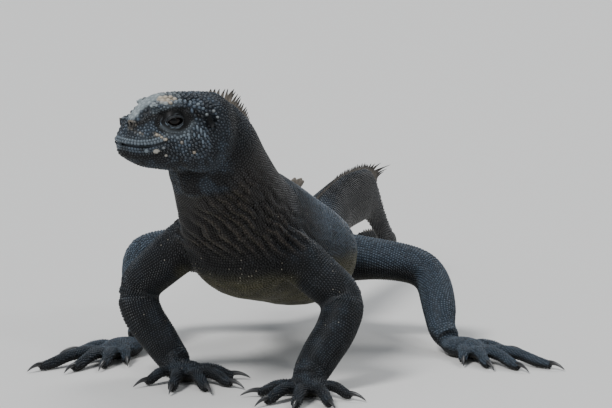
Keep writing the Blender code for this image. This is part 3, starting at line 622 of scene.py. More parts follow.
marking = {
    # places on the head are given as back from the snout and above the axis, in mm
    "saltLine": ((3.0, 9.5), (6.5, 10.1), (9.0, 11.6), (12.2, 13.8), (16.8, 16.2), (20.0, 15.6),
                 (25.0, 15.8), (30.0, 16.8)),
    "saltFrom": (4.2, 5.8), "saltTo": (31.0, 25.5),
    "cream": ((21.0, 16.9, 3.0, 1.2), (24.6, 16.6, 1.6, 0.9)),   # half length, half height
    "nostrilRing": (1.9, 0.8),   # radius and width
    "noseStreak": ((6.6, 5.6), (7.6, 4.6), (9.2, 3.8)),
    "chain": ((14.2, 3.4), (15.4, 2.6), (16.6, 1.7), (18.0, 0.7), (24.5, -1.6), (28.8, -5.7)),
    "groove": ((7.4, 8.2), (10.0, 8.8), (13.0, 10.3), (16.8, 11.9), (22.8, 13.0), (28.0, 12.4),
               (31.5, 11.2), (33.4, 8.5)),
    "browBand": ((15.2, 12.4), (17.2, 13.5), (21.8, 14.7), (27.0, 15.6)),
    "arcs": (((17.2, 6.1), (20.0, 3.9), (24.2, 2.7), (28.0, 3.8), (30.2, 6.2)),
             ((18.6, 2.9), (23.0, 0.9), (28.4, 1.9))),
    "thighs": (("legLeft", 1.0), ("legRight", 0.35)),   # how blue each thigh is
}


def nearLine(back, above, line, width):
    # share of a soft stripe of that half width, in mm, along a line on the side of the head
    gap = np.full(len(back), 1e3)
    for (b0, a0), (b1, a1) in zip(line, line[1:]):
        db, da = b1 - b0, a1 - a0
        t = np.clip(((back - b0) * db + (above - a0) * da) / (db**2 + da**2), 0, 1)
        gap = np.minimum(gap, np.hypot(back - b0 - t * db, above - a0 - t * da))
    return bell(gap, 0, width)


def markings(points, normals):
    # shares of salt, slate blue (partly a painted reflection of the sky), olive (partly painted bounce light from
    # the floor), umber, cream and painted shadow at each point
    back, out, above = inHead(points)
    side = np.abs(out)
    nearest, distance, _ = onAxis(points, "spine")
    place = axes["spine"]["place"][nearest]
    headward = ramp(back, 50, 42) * ramp(np.abs(above), 30, 24) * ramp(side, 30, 24) * ramp(back, -6, -3)
    lumps = wander(points, 5, 11)
    fine = wander(points, 1.7, 12)
    upward = normals[:, 2]
    height = points[:, 2] / unit

    line = np.interp(back, *np.array(marking["saltLine"]).T)
    salt = headward * ramp(above - line + 0.9 * lumps + 0.5 * fine, -0.4, 0.4)
    salt *= ramp(back, *marking["saltFrom"]) * ramp(back + 2 * lumps, *marking["saltTo"])
    salt *= 1 - 0.6 * ramp(back, 20, 24)   # past the brow only a thin grey crust is left
    cream = np.zeros(len(points))
    for b, a, halfLength, halfHeight in marking["cream"]:
        spot = ((back - b) / halfLength) ** 2 + ((above - a) / halfHeight) ** 2
        cream = np.maximum(cream, ramp(spot + 0.6 * fine + 0.4 * lumps, 1.3, 0.7))
    nb, _, na = head["nostril"]
    ring = bell(np.hypot(back - nb, above - na), *marking["nostrilRing"])
    streak = nearLine(back, above, marking["noseStreak"], 0.7)
    nose = headward * ramp(side, 5.0, 6.0)
    cream = np.maximum(cream, 0.5 * nose * ring * ramp(fine + 0.5 * lumps, -0.4, 0.4))
    cream = np.maximum(cream, 0.35 * nose * streak * ramp(fine, -0.3, 0.3))
    for b, a in marking["chain"]:
        spot = ramp(np.hypot(back - b, above - a), 1.0, 0.5)
        cream = np.maximum(cream, 0.45 * headward * spot * ramp(side, 8, 10))
    cream *= headward

    eb, _, ea = head["eye"]
    flank = headward * ramp(side, 6, 8)
    fromEye = np.hypot((back - eb) / 7.6, (above - ea) / 5.0)
    shadow = flank * ramp(fromEye, 1.22, 0.9)
    shadow = np.maximum(shadow, 0.9 * flank * nearLine(back, above, marking["groove"], 1.0))
    ear = bell(back, head["ear"][0], 2.6) * bell(above, head["ear"][2], 4.2)
    shadow = np.maximum(shadow, 0.75 * flank * ear)
    shadow = np.maximum(shadow, 0.5 * flank * bell(back, 11.5, 3.5) * bell(above, 11.6, 1.6))
    fromMouth = above + mouthDrop(np.clip(back, 0, head["mouthCorner"]))
    lip = headward * bell(fromMouth, 2.1, 1.5) * ramp(back, 20.5, 18)
    lowerLip = headward * bell(fromMouth, -1.7, 0.7) * ramp(back, 17, 14)
    shadow = np.maximum(shadow, headward * 0.8 * bell(fromMouth, -4.4, 1.8) * ramp(back, 22, 15))
    # slate on the head: its own colour, and on the upper head partly a painted reflection of the sky
    blue = headward * (0.36 * ramp(above, -14, 4) + 0.5 * ramp(lumps + 0.4 * fine, -0.3, 0.5))
    for line in marking["arcs"]:
        blue = np.maximum(blue, flank * nearLine(back, above, line, 1.1))
        shadow = np.minimum(shadow, 1 - 0.9 * flank * nearLine(back, above, line, 0.9))
    blue = np.maximum(blue, flank * nearLine(back, above, marking["browBand"], 1.2))
    shadow = np.minimum(shadow, 1 - 0.9 * flank * nearLine(back, above, marking["browBand"], 1.0))
    cheek = bell(back, 30, 6.5) * bell(above, -1.5, 6.0)
    blue = np.maximum(blue, 0.9 * flank * cheek * ramp(lumps + fine, -0.6, 0.3))
    blue = np.maximum(blue, 0.9 * lip + 0.45 * lowerLip)
    salt = np.maximum(salt, 0.22 * lip)
    for line in (*marking["arcs"], marking["browBand"]):
        salt = np.maximum(salt, 0.3 * flank * nearLine(back, above, line, 0.9))

    body = 1 - headward
    trunk = ramp(distance / axes["spine"]["row"][nearest][:, 4:7].mean(1), 1.35, 1.15)
    # slate on the body: partly the hide's own colour, partly a painted reflection of the sky on faces turned up, on
    # the top of the back and on the upper thighs
    slateAndSkySheen = (0.08 + 0.26 * ramp(upward, 0.0, 0.9)) * (0.4 + 0.9 * ramp(lumps, -0.4, 0.6))
    blueBack = 0.95 * ramp(place, 3.9, 5.2) * ramp(place, 11.5, 9.5) * ramp(upward, -0.35, 0.35)
    thigh = np.maximum(*(share * ramp(gapTo(points, atPoint(*limbs[limb][2][:3])), 30, 13)
                         for limb, share in marking["thighs"]))
    thigh *= (0.75 + 0.25 * ramp(lumps, -0.3, 0.4)) * ramp(upward, -0.5, 0.2)
    blue = np.maximum(blue, body * np.maximum.reduce([slateAndSkySheen, blueBack, thigh]))
    folds, where = foldField(points)
    umber = body * where * ramp(folds, 0.3, 0.9) * (0.6 + 0.4 * ramp(fine, -0.4, 0.4))
    umber = np.maximum(umber, 0.45 * ramp(place, 9.5, 12) * trunk * ramp(lumps + 0.4 * fine, -0.2, 0.6))
    umber = np.maximum(umber, 0.36 * body * trunk * ramp(place, 0.8, 1.6) * ramp(place, 4.0, 2.6))
    # olive: the belly's own colour, lightened as painted bounce light from the floor; on any face turned down it
    # stands for painted bounce light
    olive = body * trunk * ramp(height + 2.5 * lumps, 54, 46) * ramp(upward, 0.35, -0.05)
    olive *= ramp(place, 3.2, 3.9) * ramp(place, 9.5, 8) * (0.7 + 0.3 * ramp(lumps, -0.5, 0.5))
    olive = np.maximum(olive, 0.3 * ramp(upward, -0.6, -0.95) * body)
    breast = ramp(place, 1.6, 2.6) * ramp(place, 5.4, 4.0) * ramp(upward, 0.15, -0.35)
    breast *= (1 - olive) * (1 - ramp(folds, 0.1, 0.8))
    shadow = np.maximum(shadow, 0.75 * body * trunk * breast)
    shadow = np.maximum(shadow, 0.85 * body * trunk * ramp(place, 10, 12.5) * ramp(lumps, 0.9, -0.2))
    blue *= 1 - 0.8 * shadow
    return np.clip(np.stack([salt, blue, olive, umber, cream, shadow], 1), 0, 1)


def storeMarks(mesh, marks, tone, rise, speck=0.0):
    # the markings go in two colour attributes of the mesh, sand in one of its own
    tone, rise, speck = (np.full(len(marks), values, float) for values in (tone, rise, speck))
    second = np.stack([marks[:, 4], marks[:, 5], tone, rise], 1)
    for name, values in (("marks", marks[:, :4]), ("detail", second)):
        layer = mesh.attributes.new(name, "FLOAT_COLOR", "POINT")
        layer.data.foreach_set("color", values.astype(np.float32).ravel())
    storeValue(mesh, "speck", speck)


# Materials

def toLinear(code):
    # sRGB hex to the linear colour that a shader takes
    levels = [int(code[i:i + 2], 16) / 255 for i in (1, 3, 5)]
    return tuple(v / 12.92 if v <= 0.04045 else ((v + 0.055) / 1.055) ** 2.4 for v in levels) + (1.0,)


def setInputs(tree, node, inputs):
    # an input takes a value, a colour's code or another node's socket
    for socket, value in inputs.items():
        if isinstance(value, bpy.types.NodeSocket):
            tree.links.new(value, node.inputs[socket])
        else:
            node.inputs[socket].default_value = toLinear(value) if isinstance(value, str) else value


def addNode(tree, kind, inputs=None, **settings):
    node = tree.nodes.new(kind)
    for name, value in settings.items():
        setattr(node, name, value)
    setInputs(tree, node, inputs or {})
    return node


def newMaterial(name):
    material = bpy.data.materials.new(name)
    material.use_nodes = True
    tree = material.node_tree
    return material, tree, tree.nodes["Principled BSDF"]


hide = {
    # scaly reptile hide: dull keratin, near black, with slate that is partly its own colour and partly a painted
    # reflection of the sky, and a colour for painted shadow
    "dark": "#0D0E10", "light": "#212427", "slate": "#4F5D6B", "olive": "#55523C", "umber": "#463F38",
    "salt": "#B9C1C3", "saltDirty": "#8F999D", "cream": "#BFB3A0", "shadow": "#08090A", "sand": "#B9B2A2",
    "specular": 0.42, "ior": 1.5,
    "blotch": 6, "grain": 0.35, "pitDepth": 0.12,   # mm; patches of tone, fine pits in each scale
}


def hideMaterial(name, roughness, bump, footShadeLevel):
    # hide coloured by the markings; the last argument is how dark the painted shade makes a scale at its foot
    material, tree, shader = newMaterial(name)
    place = addNode(tree, "ShaderNodeTexCoord").outputs["Object"]
    marks, detail, speck = (addNode(tree, "ShaderNodeAttribute", attribute_name=key).outputs
                            for key in ("marks", "detail", "speck"))
    first, second = (addNode(tree, "ShaderNodeSeparateColor", {"Color": source["Color"]}).outputs
                     for source in (marks, detail))
    found = dict(zip(("salt", "blue", "olive", "cream", "shadow", "tone"), (*first, *second)))
    found["umber"] = marks["Alpha"]
    spots = {"Vector": place, "Scale": 1 / (hide["blotch"] * unit), "Detail": 3.0, "Roughness": 0.6}
    pits = {"Vector": place, "Scale": 1 / (hide["grain"] * 3 * unit), "Detail": 4.0}
    blotch, found["grain"] = (addNode(tree, "ShaderNodeTexNoise", inputs).outputs["Fac"] for inputs in (spots, pits))
    # foot darkens each scale towards its foot: painted shade of the gaps between the scales
    for result, source, low, high, least, most in (
            ("spread", blotch, 0.3, 0.7, 0.0, 1.0), ("foot", detail["Alpha"], 0.0, 0.9, footShadeLevel, 1.0),
            ("rough", found["grain"], 0.25, 0.75, roughness - 0.08, roughness + 0.1)):
        inputs = {"Value": source, "From Min": low, "From Max": high, "To Min": least, "To Max": most}
        found[result] = addNode(tree, "ShaderNodeMapRange", inputs).outputs[0]
    # each step names its result, what it does and what it takes
    for result, kind, one, other in (
            ("paleBlotch", "MULTIPLY", "tone", "spread"), ("slateByTone", "ADD", "tone", 0.35),
            ("slateAndSkySheen", "MULTIPLY", "blue", "slateByTone"), ("dry", "MULTIPLY", "tone", "grain"),
            ("salted", "MULTIPLY", "salt", 0.96), ("creamy", "MULTIPLY", "cream", 0.9),
            # salt in the gaps lifts the painted shade at a scale's foot
            ("saltFoot", "MULTIPLY", "salt", 0.75), ("footShade", "MAXIMUM", "foot", "saltFoot"),
            ("saltRough", "MULTIPLY", "salt", 0.8), ("dull", "MAXIMUM", "rough", "saltRough"),
            # painted shade at the foot of a scale leaves it dull there as well as dark, so only the crowns catch the
            # light
            ("sheen", "MULTIPLY", "foot", hide["specular"])):
        inputs = {0: found[one], 1: found.get(other, other)}
        found[result] = addNode(tree, "ShaderNodeMath", inputs, operation=kind, use_clamp=True).outputs[0]
    found["whole"], found["speck"] = 1.0, speck["Fac"]
    base, crust = hide["dark"], addNode(
        tree, "ShaderNodeMix", {0: found["dry"], 6: hide["saltDirty"], 7: hide["salt"]}, data_type="RGBA").outputs[2]
    # layers: a pale blotch of random tone, slate (partly a painted reflection of the sky), umber, olive (partly
    # painted bounce light), painted shadow, salt crust, cream, the painted shade at each scale's foot, and sand
    for share, colour, blend in (
            ("paleBlotch", hide["light"], "MIX"), ("slateAndSkySheen", hide["slate"], "MIX"), ("umber", hide["umber"], "MIX"),
            ("olive", hide["olive"], "MIX"), ("shadow", hide["shadow"], "MIX"), ("salted", crust, "MIX"),
            ("creamy", hide["cream"], "MIX"), ("whole", found["footShade"], "MULTIPLY"), ("speck", hide["sand"], "MIX")):
        inputs = {0: found[share], 6: base, 7: colour}
        base = addNode(tree, "ShaderNodeMix", inputs, data_type="RGBA", blend_type=blend).outputs[2]
    pitted = {"Height": found["grain"], "Strength": bump, "Distance": hide["pitDepth"] * unit}
    setInputs(tree, shader, {
        "Base Color": base, "Roughness": found["dull"], "Specular IOR Level": found["sheen"], "IOR": hide["ior"],
        "Normal": addNode(tree, "ShaderNodeBump", pitted).outputs[0],
    })
    return material


def gradedMaterial(look):
    # colours along a value stored on the piece, broken up by noise
    material, tree, shader = newMaterial(look["name"])
    place = addNode(tree, "ShaderNodeTexCoord").outputs["Object"]
    value = addNode(tree, "ShaderNodeAttribute", attribute_name=look["along"]).outputs["Fac"]
    size, detail = look["noise"]
    pattern = {"Vector": place, "Scale": 1 / (size * unit), "Detail": detail}
    broken = addNode(tree, "ShaderNodeTexNoise", pattern).outputs["Fac"]
    kind, swing, shift = look["join"]
    mix = addNode(tree, "ShaderNodeMath", {0: broken, 1: swing, 2: shift}, operation="MULTIPLY_ADD").outputs[0]
    total = addNode(tree, "ShaderNodeMath", {0: value, 1: mix}, operation=kind).outputs[0]
    colours = addNode(tree, "ShaderNodeValToRGB", {"Fac": total})
    stops = colours.color_ramp.elements
    stops.remove(stops[1])
    stops[0].position, stops[0].color = look["stops"][0][0], toLinear(look["stops"][0][1])
    for position, code in look["stops"][1:]:
        stops.new(position).color = toLinear(code)
    setInputs(tree, shader, {"Base Color": colours.outputs[0], **look["shader"]})
    if "bump" in look:
        strength, depth = look["bump"]
        bump = {"Height": broken, "Strength": strength, "Distance": depth * unit}
        setInputs(tree, shader, {"Normal": addNode(tree, "ShaderNodeBump", bump).outputs[0]})
    return material


# Scales

coat = {
    # spacing of the scales in mm
    "neck": 1.22, "chest": 1.3, "loin": 1.4, "tail": 1.75, "arm": 1.22, "leg": 1.3, "foot": 1.08, "belly": 1.5,
    "rise": 0.42,   # height of a scale over the skin, as a share of its spacing
    "sunk": 0.16,
    "jitter": 0.07,
    "ringSides": 44,
    "patch": 0.003,   # width of a scale's patch on the coat's own map
    "candidates": 9,   # tries for each scale where the coat is filled in without rows
    "sandy": ("chest", "armLeft", "armRight"), "sandShare": 0.007,   # share of scales with sand on them
    "sandHeight": 51,
    "boxGap": 0.00003,   # metres that a scale stays inside the box of the solids
    # regions along the spine: first and last place, whose spacing they take, kind of scale
    "regions": {
        "neck": (1.15, 2.75, "neck", "granule"), "chest": (2.75, 5.2, "chest", "granule"),
        "belly": (5.2, 7.0, "chest", "granule"), "loin": (7.0, 10, "loin", "granule"),
        "tail": (10, 14, "tail", "keeled"), "tip": (14, 20.9, "tail", "keeled"),
    },
}


def domeTemplate(sides, crown, lean, keel, squareness=2.0):
    # a scale of unit radius and unit height, lying back by lean, with a keel
    bm = bmesh.new()
    bmesh.ops.create_cone(bm, cap_ends=False, segments=sides, radius1=1, radius2=crown, depth=1)
    top = [vert for vert in bm.verts if vert.co.z > 0]
    face = bm.faces.new(sorted(top, key=lambda vert: math.atan2(vert.co.y, vert.co.x)))
    bmesh.ops.poke(bm, faces=[face], offset=0)
    for vert in bm.verts:
        share = vert.co.z + 0.5
        if vert.co.xy.length < 0.01:
            vert.co.z, share = 1.0, 1.0
        else:
            vert.co.z = share * 0.74
        if keel and abs(vert.co.y) < 0.3 and vert.co.x > 0 and 0 < share:
            vert.co.z += keel
        stretch = (abs(vert.co.x) ** squareness + abs(vert.co.y) ** squareness) ** (1 / squareness)
        if stretch > 0.01:
            vert.co.xy *= vert.co.xy.length / stretch
        vert.co.x += lean * share
    bmesh.ops.recalc_face_normals(bm, faces=bm.faces)
    if sum(face.normal.z for face in bm.faces) < 0:
        bmesh.ops.reverse_faces(bm, faces=bm.faces)
    mesh = bpy.data.meshes.new("scaleTemplate")
    bm.to_mesh(mesh)
    bm.free()
    points = coordinates(mesh)
    found = [list(face.vertices) for face in mesh.polygons]
    bpy.data.meshes.remove(mesh)
    return points, found


templates = {
    "granule": domeTemplate(6, 0.62, 0.08, 0.0),
    "keeled": domeTemplate(6, 0.55, 0.26, 0.10),
    "plate": domeTemplate(8, 0.78, 0.10, 0.0, 3.2),
    "knob": domeTemplate(8, 0.66, 0.0, 0.0),
}


class Coat:
    # scales of one region, gathered as rows of numbers
    def __init__(self):
        self.scales = []

    def add(self, root, normal, trail, half, across, height, kind, tone=None, mark=None):
        self.scales.append((root, normal, trail, half, across, height, kind,
                            dice.random() if tone is None else tone, mark))


def addRow(coats, region, tree, rows, place, turned, spacing, previous, phase, kind, limit=1.24):
    # one row of scales round an axis at a place. Returns the row's hits, for the next one
    middle, along, left, up = frameAt(rows, place, turned)
    row = smoothRow(rows, place)
    sides = coat["ringSides"]
    hits = []
    for k in range(sides):
        angle = 2 * math.pi * k / sides
        c, s = math.cos(angle), math.sin(angle)
        if turned:
            reach = math.hypot(c * row[4], s * (row[5] if s > 0 else row[6]))
        else:
            reach = row[3]
        hit, normal, _, _ = tree.ray_cast(middle, left * c + up * s)
        hits.append(hit if hit is not None and (hit - middle).length < (reach * limit + 0.9) * unit else None)
    travelled = phase * spacing
    for k in range(sides):
        one, other = hits[k], hits[(k + 1) % sides]
        if one is None or other is None:
            travelled += 0.37 * spacing
            continue
        length = (other - one).length / unit
        start = travelled
        travelled += length
        count = int(travelled / spacing) - int(start / spacing)
        for n in range(count):
            share = ((int(start / spacing) + 1 + n) * spacing - start) / length
            point = one.lerp(other, min(1, share))
            stretch = 1.0
            if previous and previous[k] is not None:
                stretch = min(1.6, max(0.55, (one - previous[k]).length / unit / spacing))
            point += along * (dice.random() - 0.5) * 2 * coat["jitter"] * spacing * unit
            spot, normal, _, _ = tree.find_nearest(point)
            if spot is None or spot.z < 0.5 * unit or abs(normal.dot(along)) > 0.62:
                continue
            size = spacing * (0.5 + 0.03 * (dice.random() - 0.5))
            coats[region].add(spot, normal, along, size * stretch * 1.04, size, spacing * coat["rise"], kind)
    return hits


def addRows(coats, region, tree, rows, first, last, turned, spacing, kind):
    place, previous, index = first, None, 0
    while place < last:
        previous = addRow(coats, region, tree, rows, place, turned, spacing, previous, 0.5 * (index % 2), kind)
        here = atPoint(*smoothRow(rows, place)[:3])
        step = (atPoint(*smoothRow(rows, place + 0.02)[:3]) - here).length / unit / 0.02
        place += spacing * 0.92 / max(step, 1)
        index += 1


def headSpacing(back, side, above, normals):
    # spacing in mm, height in mm and kind of the scales on the head
    upward = normals @ np.array(headUp)
    spacing = np.full(len(back), 1.25)
    height = np.full(len(back), 0.5)
    kind = np.full(len(back), "granule", dtype=object)

    def put(where, newSpacing, newHeight, newKind):
        spacing[where] = newSpacing[where] if isinstance(newSpacing, np.ndarray) else newSpacing
        height[where] = newHeight[where] if isinstance(newHeight, np.ndarray) else newHeight
        kind[where] = newKind

    eb, _, ea = head["eye"]
    put((back < 38) & (above < -5), 1.15, 0.4, "granule")
    put((back < 17) & (above > -2) & (upward < 0.6), 1.25, 0.34, "plate")
    put((back > 18) & (back < 37) & (above > -9) & (above < 4), 1.35 + 0.25 * bell(back, 30, 4), 0.48, "plate")
    put((back > 27) & (back < 42) & (above > 4) & (upward < 0.62), 1.6, 0.7, "knob")
    top = (upward > 0.5) & (back < 43) & (back > 1.5)
    put(top, np.interp(back, [2, 8, 24, 34, 43], [1.6, 2.1, 2.3, 2.1, 1.4]),
        np.interp(back, [2, 8, 20, 28, 36, 43], [0.5, 0.8, 1.0, 1.05, 0.85, 0.45]), "knob")
    fromEye = np.hypot((back - eb) / 7.8, (above - ea) / 5.2)
    put((fromEye < 1.0) & (side > 6), 0.85, 0.26, "granule")
    return spacing, height, kind


def closed(back, side, above):
    # where the head carries no filled-in scales: lids, eyes, nostrils, ears and the mouth line
    (eb, _, ea), (nb, _, na), (hb, _, ha) = head["eye"], head["nostril"], head["ear"]
    shut = (np.hypot((back - eb) / 6.0, (above - ea) / 4.6) < 1) & (side > 8)
    shut |= (np.hypot(back - nb, above - na) < 2.3) & (side > 5)
    shut |= (np.hypot((back - hb) / 2.1, (above - ha) / 3.4) < 1) & (side > 12)
    drop = mouthDrop(np.clip(back, 0, head["mouthCorner"]))
    shut |= (np.abs(above + drop - 0.35) < 2.15) & (back < head["mouthCorner"] + 0.3)
    return shut


def regionOf(points):
    # region of the coat, and the axis it runs along, for points anywhere on the skin
    back, out, above = inHead(points)
    nearest, distance, _ = onAxis(points, "spine")
    row = axes["spine"]["row"][nearest]
    place = axes["spine"]["place"][nearest]
    best = distance / np.maximum(row[:, 4:7].mean(1), 1)
    names = np.full(len(points), "neck", dtype=object)
    for name, (first, *_) in coat["regions"].items():
        names[place >= first] = name
    for limb in limbs:
        at, away, _ = onAxis(points, limb)
        ratio = away / axes[limb]["row"][at][:, 3]
        pick = (ratio < best) & (axes[limb]["place"][at] > 0.9) & (away < 22)
        names[pick] = limb
        best = np.where(pick, ratio, best)
        pad = feet["pads"][limb]
        reach = 34 if limb.startswith("arm") else 66
        low = (gapTo(points, atPoint(pad[0], pad[1], 0)) < reach) & (points[:, 2] / unit < 9.5) & (distance > 14)
        names[low & (axes[limb]["place"][at] > 5.5)] = limb
    names[(back < 47) & (np.abs(out) < 24) & (np.abs(above) < 26) & (back > -5) & (place < 1.2)] = "head"
    return names


def relaxed(points, normals, spacing, fixed, tree, rounds=5):
    # pushes neighbours apart over the skin until they are evenly spread
    points = [Vector(p) for p in points]
    normals = [Vector(n) for n in normals]
    for _ in range(rounds):
        kd = KDTree(len(points) + len(fixed))
        for i, point in enumerate(points):
            kd.insert(point, i)
        for j, point in enumerate(fixed):
            kd.insert(point, len(points) + j)
        kd.balance()
        moved = []
        for i, point in enumerate(points):
            push = Vector((0, 0, 0))
            for other, j, gap in kd.find_n(point, 7):
                if j == i or gap < 1e-9:
                    continue
                wish = spacing[i] * unit
                if gap < wish:
                    push += (point - other) / gap * (wish - gap) * 0.42
            spot, normal, _, _ = tree.find_nearest(point + push)
            moved.append((spot, normal) if spot is not None else (point, normals[i]))
        points = [spot for spot, _ in moved]
        normals = [normal for _, normal in moved]
    return points, normals


def fillIn(coats, skin, tree):
    # scales wherever the rows leave the skin bare: the head, the feet and the limbs' roots
    mesh = skin.data
    mesh.calc_loop_triangles()
    corners = np.empty(len(mesh.loop_triangles) * 3, np.int32)
    mesh.loop_triangles.foreach_get("vertices", corners)
    corners = corners.reshape(-1, 3)
    spots = coordinates(mesh)
    a, b, c = (spots[corners[:, k]] for k in range(3))
    areas = np.linalg.norm(np.cross(b - a, c - a), axis=1) / 2
    count = int(areas.sum() / unit**2 * coat["candidates"] / 1.6)
    picked = draw.choice(len(areas), count, p=areas / areas.sum())
    u, v = draw.random(count), draw.random(count)
    flip = u + v > 1
    u[flip], v[flip] = 1 - u[flip], 1 - v[flip]
    points = a[picked] + (b - a)[picked] * u[:, None] + (c - a)[picked] * v[:, None]
    normals = np.cross(b - a, c - a)[picked]
    normals /= np.maximum(np.linalg.norm(normals, axis=1), 1e-12)[:, None]

    placed = [scale[0] for region in coats.values() for scale in region.scales]
    kd = KDTree(len(placed))
    for i, root in enumerate(placed):
        kd.insert(root, i)
    kd.balance()
    near = np.array([kd.find(p)[2] for p in points]) / unit
    keep = (near > 0.9) & (points[:, 2] > 0.7 * unit)
    points, normals, near = points[keep], normals[keep], near[keep]
    names = regionOf(points)
    back, out, above = inHead(points)
    side = np.abs(out)
    spacing, height, kind = headSpacing(back, side, above, normals)
    onHead = names == "head"
    bodySpacing = np.array([coat.get(name[:3] if name in limbs else name, coat["tail"]) for name in names])
    bodySpacing[points[:, 2] < 9 * unit] = coat["foot"]
    spacing = np.where(onHead, spacing, bodySpacing)
    height = np.where(onHead, height, spacing * coat["rise"])
    kind = np.where(onHead, kind, "granule")
    keep = (near > 0.72 * spacing) & ~(onHead & closed(back, side, above))
    points, normals, names, spacing, height, kind = (
        found[keep] for found in (points, normals, names, spacing, height, kind))

    # darts: a candidate stays if no earlier one lies too near, looked up in a grid of cells
    cell = 1.6 * unit
    steps = [(dx, dy, dz) for dx in (-1, 0, 1) for dy in (-1, 0, 1) for dz in (-1, 0, 1)]
    grid, chosen = {}, []
    for i, p in enumerate(points):
        x, y, z = (int(math.floor(value / cell)) for value in p)
        least = 0.80 * spacing[i] * unit
        others = (points[j] for dx, dy, dz in steps for j in grid.get((x + dx, y + dy, z + dz), ()))
        if not any((p[0] - q[0]) ** 2 + (p[1] - q[1]) ** 2 + (p[2] - q[2]) ** 2 < least * least for q in others):
            grid.setdefault((x, y, z), []).append(i)
            chosen.append(i)
    print("coat: filled in", len(chosen), "of", len(points))
    spots, turned = relaxed(points[chosen], normals[chosen], spacing[chosen], placed, tree)
    everything = np.array([tuple(p) for p in spots])
    axisOf = {name: onAxis(everything, name)[0] for name in axes}
    for n, i in enumerate(chosen):
        name = names[i]
        if name == "head":
            trail = headAlong
        elif name.startswith(("arm", "leg")):
            trail = Vector(axes[name]["along"][axisOf[name][n]])
            if spots[n].z < 9 * unit:
                trail = -footFrame(feet["pads"][name])[1]
        else:
            trail = Vector(axes["spine"]["along"][axisOf["spine"][n]])
        size = spacing[i] * 0.5 * (0.97 + 0.1 * dice.random())
        coats[name].add(spots[n], turned[n], trail, size, size * (0.94 + 0.12 * dice.random()),
                        height[i] * (0.85 + 0.3 * dice.random()), kind[i])


def coatMap(region, points, normals):
    # where each root lies on an unwrap of the region's own skin, in the unit square
    if region == "head":
        back, out, above = inHead(points)
        u = np.arctan2(above, out) / (2 * math.pi) + 0.5
        v = np.clip((back + 2) / 56, 0, 1)
    elif region.startswith(("arm", "leg")):
        nearest, _, angle = onAxis(points, region)
        u, v = angle / (2 * math.pi) + 0.5, axes[region]["place"][nearest] / 7 * 0.5
        low = points[:, 2] < 10 * unit
        pad = feet["pads"][region]
        middle, ahead, left = footFrame(pad)
        away = (points - np.array(middle)) / unit
        x, y = away @ np.array(left) / 90 + 0.5, (away @ np.array(ahead) + 30) / 110
        u = np.where(low, np.where(normals[:, 2] > 0, 0.25, 0.75) + (np.clip(x, 0, 1) - 0.5) * 0.48, u)
        v = np.where(low, 0.52 + np.clip(y, 0, 1) * 0.46, v)
    else:
        nearest, _, angle = onAxis(points, "spine")
        place = axes["spine"]["place"][nearest]
        low, high = place.min(), place.max()
        u, v = angle / (2 * math.pi) + 0.5, (place - low) / max(high - low, 1e-6)
    return np.stack([0.01 + 0.98 * u, 0.01 + 0.98 * v], 1)


